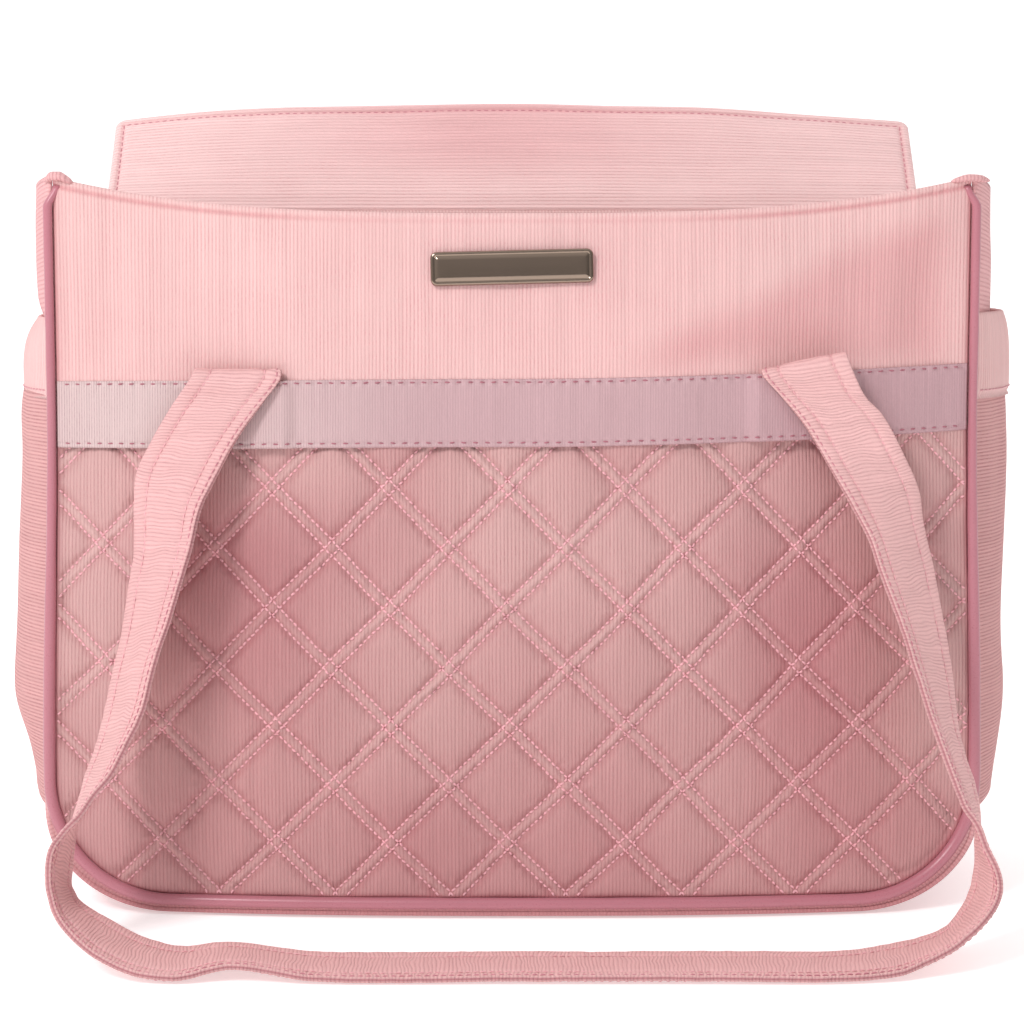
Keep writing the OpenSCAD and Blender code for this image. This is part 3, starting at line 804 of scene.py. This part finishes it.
def corner_fold(tag, route, height, depth, seed):
    """Pinch of gusset cloth turned over the piping's end at a front corner of the rim."""
    p = np.array(route, float)
    t = np.linspace(0, len(p) - 1, 26)
    c = between(np.arange(len(p)), p, t)
    c[1:-1] = (c[:-2] + 2 * c[1:-1] + c[2:]) / 4
    u = t / t[-1]
    size = np.sqrt(np.clip(1 - np.abs(2 * u - 1) ** 2.6, 0.02, 1))
    a = 2 * np.pi * np.arange(14)[None] / 14
    wave = 1 + 0.10 * noise(u[:, None] * 9, a * 1.2, seed)
    rings = c[:, None] + grid(0, depth * np.cos(a) * wave, height * np.sin(a) * wave) * size[:, None, None]
    if tag == "left":
        rings = rings[::-1]
    obj = loft(f"{tag}_corner_fold", rings, arc_uv(rings, np.abs(c[:, 0])), SIDE, "bag")
    return obj


left_fold = [(-183, -66, 309.2), (-188, -66.5, 311.8), (-192, -65.5, 312), (-196, -62, 310)]
right_fold = [(183, -66, 309.6), (189, -66.5, 311), (195, -65.5, 311), (200, -62, 310)]
corner_folds = [corner_fold("left", left_fold, 1.9, 3.0, 75),
                corner_fold("right", right_fold, 1.5, 2.8, 76)]


# ---------------------------------------------------------------- side pockets

POCKET_HALF = 61.2      # half of a pocket's depth
POCKET_FOLD = 38        # height to which the pocket lies close to the gusset


def pouch_out(z, v, sign):
    """Distance of the pocket from the middle plane. The left one bulges more low down."""
    open_share = ease((z - POCKET_FOLD) / 60)
    gap = 8 * ease((z - POCKET_FOLD) / 6) * (1 - open_share) + 15 * open_share - 7 * ease((z - 150) / 90)
    if sign < 0:
        gap = gap + 1.9 * bell((z - 108) / 50) - 1.1 * ease((205 - z) / 60) - 3.4 * ease((88 - z) / 26)
        gap = gap - 2.0 * bell((z - 118) / 40) - 1.2 * ease((z - 170) / 60) + 3.4 * bell((z - 216) / 17)
    else:
        gap = gap - 1.2 * bell((z - 100) / 40) + 2.6 * ease((z - 150) / 50) - 2.2 * ease((220 - z) / 60)
        gap = gap - 2.2 * bell((z - 118) / 40) + 0.9 * bell((z - 220) / 22)
    return HALF_W + 10 * (1 - v ** 2) + 1.0 + gap * (1 - np.abs(v) ** 3)


def pocket_relief(z, v, seed):
    """Gathers under the cuff, slack in the middle and small folds low down."""
    gather = ease((z - 150) / 66) * 0.9 * noise(v * 9, z / 60, seed)
    loose = 1.3 * noise(z / 42, v * 1.6, seed + 1) * ease((z - 40) / 20)
    low = 0.8 * noise(v * 7, z / 25, seed + 2) * ease((75 - z) / 40) * ease((z - POCKET_FOLD) / 6)
    return (gather + loose + low) * (1 - v ** 4)


def pocket(tag, sign, seed, top, set_out):
    """Pocket and its cuff. top is the cuff's upper edge, set_out its distance outside the pocket."""

    def skin(z, v, off):
        return grid(sign * (pouch_out(z, v, sign) + pocket_relief(z, v, seed) + off), v * POCKET_HALF, z)

    def cuff(z, v, off):
        base = pouch_out(CUFF_LOW, v, sign) + pocket_relief(CUFF_LOW, v, seed) * 0.6
        base = base + set_out * (1 - np.abs(v) ** 3)
        rise = np.clip((z - CUFF_LOW) / (top - CUFF_LOW), 0, 1)
        lean = 8.2 * rise ** 4 if sign < 0 else 1.6 * rise + 2.2 * rise ** 8
        h = 1.0 + 0.4 * np.sin(np.pi * rise) - lean * (1 - np.abs(v) ** 3)
        h = h + 0.45 * noise(v * 11, z / 30, seed + 5) * (1 - v ** 4)
        h = h - 0.9 * bell((z - CUFF_LOW - 1.0) / 0.9)
        return grid(sign * (base + h + off), v * (POCKET_HALF + 0.1), z)

    v = np.linspace(-1, 1, 81)[None]
    z = np.concatenate([np.linspace(POCKET_LOW, 48, 14)[:-1], np.linspace(48, CUFF_LOW + 2, 90)])
    z = z[::sign, None]
    pouch = shell(f"{tag}_pocket", skin(z, v, 0.0), skin(z, v, -1.3), z, v * 66, POCKET)
    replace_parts(pouch, f"{tag}_pocket_panel")

    # cuff: a folded band with a rounded top, drawn in a little by its elastic
    v = np.linspace(-1, 1, 121)[::-sign, None]
    z = CUFF_LOW - 0.5 + (top - CUFF_LOW - 1) * np.linspace(0, 1, 26)
    a = np.linspace(0, math.pi, 7)[None]
    over = cuff(z[-1] + 0 * a, v, 1.4 * (np.cos(a) - 1))
    over[..., 2] += 1.4 * np.sin(a)
    rings = np.concatenate([cuff(z[None], v, 0.0), over[:, 1:-1], cuff(z[None, ::-3], v, -2.8)], 1)
    band = loft(f"{tag}_cuff", rings, arc_uv(rings, v[:, 0] * 66), CLOTH, "bag")
    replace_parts(band, f"{tag}_pocket_cuff", f"{tag}_pocket_elastic")

    y = np.linspace(-0.97, 0.97, 260)
    runs = [facing(cuff(CUFF_LOW + 3.2, y, 0.1), sign, 0), facing(skin(POCKET_LOW + 2.4, y, 0.1), sign, 0)]
    thread = stitched(f"{tag}_pocket_stitching", runs, THREAD_DEEP, "bag", gap=0.8)


pocket("left", -1, 80, CUFF_TOP + 5.0, -1.6)
pocket("right", 1, 90, CUFF_TOP + 7.2, 0.9)


# ---------------------------------------------------------------- flap

FLAP_LEN, FLAP_R = 59.0, 4.5
FLAP_SEW = 4.4          # from the flap's edge to its stitch row


def flap_end(x):
    """Length of the flap at x, without its rounded corners."""
    return FLAP_LEN + 1 - (x / FLAP_W) ** 2


def flap_edge(x, reach):
    """Distance inside the flap's outline."""
    qx, qr = np.abs(x) - (FLAP_W - FLAP_R), reach - (FLAP_LEN - FLAP_R)
    straight = np.minimum(FLAP_W - np.abs(x), flap_end(x) - reach)
    return np.where((qx > 0) & (qr > 0), FLAP_R - np.hypot(qx, qr), straight)


def flap_point(x, reach, layer):
    """reach runs from the hinge, and layer from -1 on the front to 1 on the back."""
    x, reach, layer = np.broadcast_arrays(*(np.asarray(q, float) for q in (x, reach, layer)))
    lean = np.radians(30 + 13 * (x / FLAP_W) ** 2) + 0.05 * noise(x / 70, reach / 90, 101)
    e = flap_edge(x, reach)
    half = 2.6 - 2.1 * np.exp(-np.maximum(e, 0) / 1.3)
    half = half + 0.5 * noise(x / 30, reach / 26, 102) * ease(e / 9)
    half = half - 0.75 * bell((e - FLAP_SEW) / 0.8) - 0.45 * bell((e - FLAP_SEW) / 2.2)
    half = half + 0.12 * noise(x / 2.6, reach / 2.6, 103) * bell((e - FLAP_SEW) / 3.5)
    half = 1.1 + (half - 1.1) * ease((reach - 1) / 9)
    out = layer * half + 0.9 * noise(x / 46 + 2, reach / 60, 104) * ease(reach / 25)
    y = HINGE_Y + reach * np.sin(lean) + out * np.cos(lean)
    return np.stack([x, y, HINGE_Z + reach * np.cos(lean) - out * np.sin(lean)], -1)


def flap():
    t = np.linspace(-1, 1, 420)
    x = (FLAP_W - 0.15) * np.sin(t * np.pi / 2 * 0.6)[:, None] / math.sin(np.pi * 0.3)
    corner = np.clip(np.abs(x) - (FLAP_W - FLAP_R), 0, FLAP_R)
    end = flap_end(x) - FLAP_R + np.sqrt(FLAP_R ** 2 - corner ** 2)
    closer = 1 - (1 - np.linspace(0, 1, 56)) ** 1.3
    reach = 1.2 + (end - 0.1 - 1.2) * closer[None]
    rings = np.concatenate([flap_point(x, reach, -1), flap_point(x, reach, 1)[:, ::-1]], 1)
    v = np.concatenate([reach, 2 * end - reach[:, ::-1] + 2, 2 * end + 2], 1)
    uv = np.stack(np.broadcast_arrays(v, x), 2)
    # darker in a broad patch in the middle, and painted shade in the groove along the stitch row
    deep = 0.7 * bell((x + 8) / 80) * ease((reach - 8) / 30)
    deep = deep + 0.5 * bell((flap_edge(x, reach) - FLAP_SEW) / 1.1)
    tint = np.clip(np.concatenate([deep, deep[:, ::-1]], 1), 0, 1)
    obj = loft("flap", rings, uv, FLAP, "flap", tint)
    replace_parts(obj, "flap_outer", "flap_inner", "flap_core", "flap_magnet")
    side = np.linspace(6, FLAP_LEN - FLAP_SEW, 60)
    row = np.linspace(FLAP_W - FLAP_SEW, FLAP_SEW - FLAP_W, 640)[1:-1]
    px = np.concatenate([0 * side + FLAP_W - FLAP_SEW, row, 0 * side + FLAP_SEW - FLAP_W])
    pr = np.concatenate([side, flap_end(row) - FLAP_SEW, side[::-1]])
    runs = []
    for layer in (-1, 1):
        p = flap_point(px, pr, layer * 1.05)
        out = p - flap_point(px, pr, 0)
        runs.append((p, out / np.linalg.norm(out, axis=-1, keepdims=True)))
    thread = stitched("flap_stitching", runs, THREAD_DEEP, "flap")


flap()


def binding():
    """Folded cloth over the back rim, up to the flap's hinge line."""

    def wave(x, z):
        return 0.35 * noise(x / 8, z / 12, 111)

    x = np.linspace(190.4, -190.4, 240)[:, None]
    rim = back_f(x, BACK_RIM)
    # the band's profile, up its outside, round the hinge line and down its inside
    profile = [(back_f(x, z) + 1.0, z) for z in np.linspace(BACK_RIM - 15, BACK_RIM - 1, 8)]
    profile.append((rim * 0.6 + (HINGE_Y + 1.3) * 0.4 + 0.8, BACK_RIM + 0.6))
    for a in np.radians([20, 50, 80, 110, 140, 170, 200]):
        profile.append((HINGE_Y + 1.3 * np.cos(a), HINGE_Z + 1.3 * np.sin(a)))
    profile.append((rim * 0.5 + HINGE_Y * 0.5 - 6.0, BACK_RIM - 2.5))
    profile += [(back_f(x, z) - 8.2, z) for z in np.linspace(BACK_RIM - 4, BACK_RIM - 15, 5)]
    rings = np.concatenate([grid(x, y, z) for y, z in profile], 1)
    rings[..., 1] += wave(x, rings[..., 2])
    obj = loft("back_rim_binding", rings, arc_uv(rings, x[:, 0]), CLOTH, "bag")
    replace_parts(obj, "flap_hinge_seam")
    x, z = np.linspace(188, -188, 620), BACK_RIM - 11
    run = facing(grid(x, back_f(x, z) + 1.1 + wave(x, z), z), 0, 1)
    thread = stitched("binding_stitching", [run], THREAD_DEEP, "bag")


binding()


# ---------------------------------------------------------------- handles

# Route of a handle: its edge nearer the middle of the bag at the start, then its other edge.
ROUTE = [
    [(-95, -88.5, 229), (-131, -88.5, 229)], [(-103, -91, 218), (-139, -88, 219)],
    [(-113, -95, 204), (-148, -88, 204)], [(-122, -102, 187), (-155, -88, 189)],
    [(-127, -107, 176), (-156, -88, 175)], [(-130, -111, 161), (-156, -88, 158)],
    [(-135, -113, 145), (-159, -88, 140)], [(-140, -114, 129), (-162, -88, 122)],
    [(-145, -116, 114), (-166, -89, 105)], [(-150, -119, 95), (-170, -91, 86)],
    [(-156, -125, 82), (-173, -95, 74)], [(-161, -131, 72), (-176, -100, 65)],
    [(-167, -136, 65), (-178, -104, 56)], [(-172, -141, 58), (-180, -108, 48)],
    [(-178, -145, 52), (-180, -112, 40)], [(-182, -149, 46), (-180, -117, 32)],
    [(-183, -153, 38), (-180, -121, 25)], [(-181, -159, 30), (-178, -125, 22)],
    [(-177, -164, 22), (-174, -130, 19)], [(-166, -170, 12), (-162, -135, 13)],
    [(-155, -173, 6), (-151, -138, 8)], [(-144, -176, 3), (-143, -141, 6)],
    [(-130, -177, 2), (-132, -142, 4)], [(-110, -175, 6), (-112, -140, 5)],
    [(-76, -177, 2), (-77, -143, 2)], [(0, -177, 2), (0, -143, 2)], [(76, -177, 2), (77, -143, 2)],
    [(126, -177, 2), (131, -142, 2)], [(149, -174, 3), (151, -139, 4)], [(160, -171, 6), (164, -136, 6)],
    [(173, -168, 12), (175, -134, 10)], [(185, -163, 21), (182, -129, 16)],
    [(191, -157, 28), (187, -123, 23)], [(192, -152, 36), (190, -117, 33)],
    [(188, -145, 46), (191, -111, 40)], [(185, -140, 54), (192, -107, 47)],
    [(181, -136, 60), (192, -104, 53)], [(178, -132, 68), (191, -100, 61)],
    [(175, -127, 77), (188, -96, 71)], [(170, -122, 91), (185, -91, 85)],
    [(164, -118, 110), (183, -89, 103)], [(159, -116, 126), (180, -88, 121)],
    [(155, -114, 137), (177, -87, 136)], [(150, -112, 150), (174, -87, 152)],
    [(145, -109, 165), (170, -87, 168)], [(139, -103, 177), (168, -87, 182)],
    [(130, -97, 193), (162, -88, 196)], [(120, -92, 210), (153, -88, 213)],
    [(111, -89.5, 221), (145, -88.5, 222)], [(103, -88.5, 229), (138, -88.5, 229)]]


def spline(points, n):
    """Centripetal Catmull-Rom through points, resampled evenly."""
    p = np.asarray(points, float)
    p = np.concatenate([2 * p[:1] - p[1:2], p, 2 * p[-1:] - p[-2:-1]])
    out = []
    for i in range(1, len(p) - 2):
        t = [0.0]
        for a, b in zip(range(i - 1, i + 2), range(i, i + 3)):
            t.append(t[-1] + max(np.linalg.norm(p[b, :3] - p[a, :3]), 0.1) ** 0.5)
        u = np.linspace(t[1], t[2], 24, endpoint=False)[:, None]
        mix = lambda a, b, k, m: ((t[m] - u) * a + (u - t[k]) * b) / (t[m] - t[k])
        near = [mix(p[i + k - 1], p[i + k], k, k + 1) for k in range(3)]
        wide = [mix(near[k], near[k + 1], k, k + 2) for k in range(2)]
        out.append(mix(*wide, 1, 2))
    out = np.concatenate(out + [p[-2:-1]])
    s = length_along(out[:, :3])
    return between(s, out, np.linspace(0, s[-1], n))


STRAP_HALF = 17.4       # half of the strap's width
SEW = 6.6               # from a strap edge to its stitched seam
EDGE_SEW = 1.7          # from the outer edge to the row beside it


def turn_with_strap(obj, share):
    """Sets obj's vertices' y to share, bakes its transform, and puts its shape back. share is 0 on a sewn
    end and 1 past its fold.

    Each end doubles back over itself.
    """
    shape = np.array([v.co[:] for v in obj.data.vertices])
    laid = shape.copy()
    laid[:, 1] = share
    obj.data.vertices.foreach_set("co", laid.ravel())
    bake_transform(obj)
    obj.data.vertices.foreach_set("co", shape.ravel())
    obj.data.update()


def sewn_end(inner_x, outer_x, face, tilt):
    """Stations of a sewn end from its fold down. tilt lifts the fold's outer edge."""
    stations = []
    for z, out, lift in ((231.5, 0.62, tilt), (227.5, 0.08, 0.5 * tilt), (217, 0, 0), (208, 0, 0)):
        pair = []
        for x, rise in ((inner_x, 0), (outer_x, lift)):
            y = face(x, z) + 1.0
            pair.append((x, -(y + (88.7 - y) * out), z + rise))
        stations.append(pair)
    return stations


def strap_stations(side):
    """Middle of the strap, and the way across it, at each station from one sewn end to the other."""
    face, tilt = (front_f, 7.0) if side < 0 else (back_f, 0.0)
    # the folds stand a little further out and higher than the route's own ends
    left_fold = [(-95, -88.9, 229), (-131, -89.5, 230.5)]
    right_fold = [(103, -89.3, 230), (138, -89.6, 230 + tilt)]
    route = sewn_end(-95, -131, face, 0)[::-1] + [left_fold] + ROUTE[1:-1] + [right_fold]
    edges = np.array(route + sewn_end(103, 138, face, tilt), float)
    return edges.mean(1), edges[:, 1] - edges[:, 0]


def turned_share(c, s, stations):
    """How far each point of the strap turns with the handle: 0 where it is sewn, 1 past the fold."""
    half = len(c) // 2

    def place(station, part):
        return s[part][np.argmin(np.linalg.norm(c[part] - stations[station], axis=1))]

    first, last = slice(0, half), slice(half, None)
    start = (s - place(2, first)) / (place(5, first) - place(2, first))
    end = (place(-3, last) - s) / (place(-3, last) - place(-6, last))
    return np.clip(np.minimum(start, end), 0, 1)


def handle(tag, side):
    """One length of strap: sewn end, fold, loop, fold, sewn end. side is -1 at the front."""
    middle, over = strap_stations(side)
    line = spline(np.concatenate([middle, over], 1), 900)
    c, wide = line[:, :3], line[:, 3:]
    s = length_along(c)
    along = np.gradient(c, axis=0)
    along /= np.linalg.norm(along, axis=1, keepdims=True)
    up = np.cross(along, wide)
    up /= np.linalg.norm(up, axis=1, keepdims=True)
    wide = wide / (2 * STRAP_HALF)

    # section: stations q across the strap from -1 to 1, half its thickness, and its slow crown
    q = np.concatenate([np.linspace(-1, -0.52, 18), np.linspace(-0.46, 0.46, 11),
                        np.linspace(0.52, 1, 18)])
    d = (1 - np.abs(q)) * STRAP_HALF
    half = 1.4 - 0.5 * np.exp(-d / 0.6) - 0.42 * bell((d - SEW) / 0.8) - 0.22 * bell((d - SEW) / 2.2)
    half = half - 0.3 * bell((d - EDGE_SEW) / 0.5) * (q > 0)
    half = half[None] + 0.14 * noise(s[:, None] / 2.3, q[None] * 3, 121) * bell((d[None] - SEW) / 4.0)
    crown = 0.25 * noise(s[:, None] / 22, q[None] * 1.2, 122)
    crown = crown + 0.16 * noise(s[:, None] / 3.4, q[None] * 1.5, 123)

    def face(k):
        flat = c[:, None] - wide[:, None] * (q * STRAP_HALF)[None, :, None]
        return flat + up[:, None] * (k * half + crown)[..., None]

    def notch(k):
        """Bottom of the groove along an edge, where the strap's two layers meet."""
        return (c - wide * (k * (STRAP_HALF - 0.75)) + up * crown[:, 0 if k < 0 else -1, None])[:, None]

    rings = np.concatenate([face(1), notch(1), face(-1)[:, ::-1], notch(-1)], 1)
    w = STRAP_HALF
    v = np.concatenate([q * w, [w + 1], 2 * w + 2 - q[::-1] * w, [3 * w + 3], [3 * w + 4]])[None]
    wander = 0.9 * noise(s[:, None] / 11, v / 9, 124) + 0.5 * noise(s[:, None] / 4, v / 5, 125)
    uv = np.stack(np.broadcast_arrays(s[:, None] + wander, v), 2)
    deep = np.zeros(rings.shape[:2])
    # the front strap is darker on its left hanging part
    if side < 0:
        darker_patch = bell((c[:, 0] + 150) / 42) * bell((c[:, 2] - 150) / 75)
        deep = deep + 0.17 * darker_patch[:, None]
    # painted shade in the groove along each edge, where the two layers meet
    deep[:, len(q)] = deep[:, -1] = 1
    if side < 0:
        rings, uv, deep = rings[:, ::-1], uv[:, ::-1], deep[:, ::-1]
    else:
        rings = rings * [1, -1, 1]
    obj = loft(f"{tag}_handle", rings, uv, STRAP, None, deep)
    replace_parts(obj, f"{tag}_handle_sleeve", f"{tag}_handle_core", f"{tag}_handle_tabs")
    share = turned_share(c, s, middle)
    keep = np.where((s > 8) & (s < s[-1] - 8))[0]

    def rows(name, places, lift, mat, length, r):
        """Stitch rows on both faces of the strap, at places across it."""
        runs = []
        for k in (1, -1):
            for place in places:
                p, out = c - wide * (place * w) + up * k * lift, up * k
                if side > 0:
                    p, out = p * [1, -1, 1], out * [1, -1, 1]
                runs.append((p[keep], out[keep]))
        marks = []
        thread = stitched(name, runs, mat, None, length=length, gap=0.8, r=r, marks=marks)
        turn_with_strap(thread, np.interp(marks, np.linspace(0, 1, len(keep)), share[keep]))

    rows(f"{tag}_handle_stitching", (SEW / w - 1, 1 - SEW / w), 0.95, THREAD, 2.2, 0.2)
    rows(f"{tag}_handle_edge_stitching", (1 - EDGE_SEW / w,), 1.1, THREAD_DEEP, 2.4, 0.28)
    turn_with_strap(obj, np.repeat(share, rings.shape[1]))


handle("front", -1)
handle("back", 1)


# ---------------------------------------------------------------- nameplate

def nameplate():
    """Blank plate with a bevelled edge and an engraved border line."""
    width, height, corner = 67.0, 14.0, 2.6
    # each step of the plate's face: how far inside the outline it lies, and its height
    steps = [(0.0, 0.0), (0.0, 1.2), (0.18, 1.65), (0.5, 1.92), (0.9, 2.0), (1.5, 2.0), (1.62, 1.86),
             (1.86, 1.86), (1.98, 2.0), (3.5, 2.06), (5.5, 2.12), (6.6, 2.14)]
    rings = []
    for inset, rise in steps:
        r = max(corner - inset, 0.4)
        dx, dz = width / 2 - inset - r, height / 2 - inset - r
        ring = []
        for right, top, start in ((1, 1, 0), (-1, 1, 90), (-1, -1, 180), (1, -1, 270)):
            for a in np.radians(np.linspace(start, start + 90, 10)):
                ring.append((dx * right + r * math.cos(a), -rise, dz * top + r * math.sin(a)))
        rings.append(ring)
    turn = Matrix.Rotation(math.radians(-1.4), 3, "Y") @ Matrix.Rotation(math.radians(-6), 3, "X")
    rings = np.array(rings) @ np.array(turn).T + [0, -(front_f(0, PLATE_Z) + 0.9), PLATE_Z]
    uv = np.zeros((len(steps), rings.shape[1] + 1, 2))
    obj = loft("nameplate_blank", rings[:, ::-1], uv, METAL, "bag")
    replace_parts(obj, "nameplate")


nameplate()


# ---------------------------------------------------------------- inside

def lining(name, face, side, top, seed):
    """Lining of the front or the back, with folds that fade out at its edges."""
    x = np.linspace(-188.5, 188.5, 160)[::-side, None]
    low = low_z(x, 6)
    z = low + (top(x) - low) * np.linspace(0, 1, 60)[None]
    rim = top(x) - z
    h = 1.1 * noise(x / 33, z / 80, seed) + 0.5 * noise(x / 9, z / 60, seed + 1)
    h = h * ease(edge_d(x, z) / 25) * ease(rim / 30)
    if side < 0:
        h = h - 2.6 * ease((16 - rim) / 16)
    outer, inner = (grid(x, side * (face(x, z) + off - h), z) for off in (-6.9, -7.6))
    obj = shell(name, outer, inner, x, z, LINING)
    return obj


def inner_pocket():
    """Sheet gathered on elastic at its top."""
    x, z = np.linspace(-150, 150, 300)[:, None], np.linspace(28, 150, 60)[None]
    gather = 0.56 * ease((z - 90) / 50) * np.sin(x * 0.9 + 2 * noise(x / 20, z / 50, 141))
    y = 64.9 + gather - 0.48 * noise(x / 50, z / 40, 142) - 0.5 * bell((z - 139) / 1.5)
    obj = shell("inner_pocket", grid(x, y, z), grid(x, y + 0.8, z), x, z, LINING)
    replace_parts(obj, "inner_pocket_panel", "inner_pocket_elastic")


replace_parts(lining("lining_front", front_f, -1, lambda x: front_rim(x) - 2, 131), "front_lining")
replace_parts(lining("lining_back", back_f, 1, lambda x: 0 * x + BACK_RIM - 4, 133), "back_lining")
lining_strip = gusset_shell("lining_sides", LINING, 3.0, 0.8, 3.0, 9.0, 33)
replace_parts(lining_strip, "gusset_lining")
inner_pocket()

for node, mat in (("base_board", BOARD), ("nameplate_posts", STEEL), ("nameplate_washer", STEEL),
                  ("rim_magnet", STEEL)):
    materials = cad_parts[node].data.materials
    materials.clear()
    materials.append(mat)


# ---------------------------------------------------------------- stage, light, camera

def floor():
    """A white table that gives a little light of its own, so that shadows stay faint."""
    half, z = 30, -0.0005
    mesh = bpy.data.meshes.new("floor")
    corners = [(-half, -half, z), (half, -half, z), (half, half, z), (-half, half, z)]
    mesh.from_pydata(corners, [], [(0, 1, 2, 3)])
    table = bpy.data.materials.new("floor_white")
    Nodes(table).surface({
        "Base Color": (0.86, 0.86, 0.86, 1), "Roughness": 0.9, "Specular IOR Level": 0.1,
        "Emission Color": (1, 1, 1, 1), "Emission Strength": 0.4})
    mesh.materials.append(table)
    add_object("floor", mesh)


def studio():
    """A white sweep behind and above, dimmer in front and on the right, and a soft key light."""
    world = bpy.data.worlds.new("studio")
    bpy.context.scene.world = world
    n = Nodes(world)
    way = n.add("ShaderNodeTexCoord").outputs["Generated"]
    x, y, z = n.add("ShaderNodeSeparateXYZ", {0: way}).outputs
    front = n.math("MULTIPLY_ADD", x, -0.22, 0.34)
    front = n.math("MULTIPLY_ADD", n.ramp(z, 0.0, 1.0), 0.5, front)
    level = n.math("MULTIPLY_ADD", n.ramp(y, -0.25, 0.30), n.math("SUBTRACT", 1.15, front), front)
    sky = n.add("ShaderNodeBackground", {0: (1.0, 0.992, 0.988, 1), 1: level})
    n.add("ShaderNodeOutputWorld", {0: sky.outputs[0]})
    light = bpy.data.lights.new("key", "AREA")
    light.shape = "DISK"
    light.size = 0.5
    light.energy = 18.2
    light.color = (1, 0.995, 0.99)
    key = add_object("key", light)
    key.location = (-0.85, -1.35, 1.35)
    aim = Vector((0, 0, 0.15)) - key.location
    key.rotation_euler = aim.to_track_quat("-Z", "Y").to_euler()


def camera():
    lens = bpy.data.cameras.new("camera")
    lens.lens = 86.9
    lens.sensor_width = 36
    lens.clip_start = 0.01
    view = add_object("camera", lens)
    view.location = (0, -1.105, 0.285)
    view.rotation_euler = (math.radians(90 - 6.26), 0, 0)
    bpy.context.scene.camera = view
    bpy.context.scene.view_settings.view_transform = "Standard"


floor()
studio()
camera()
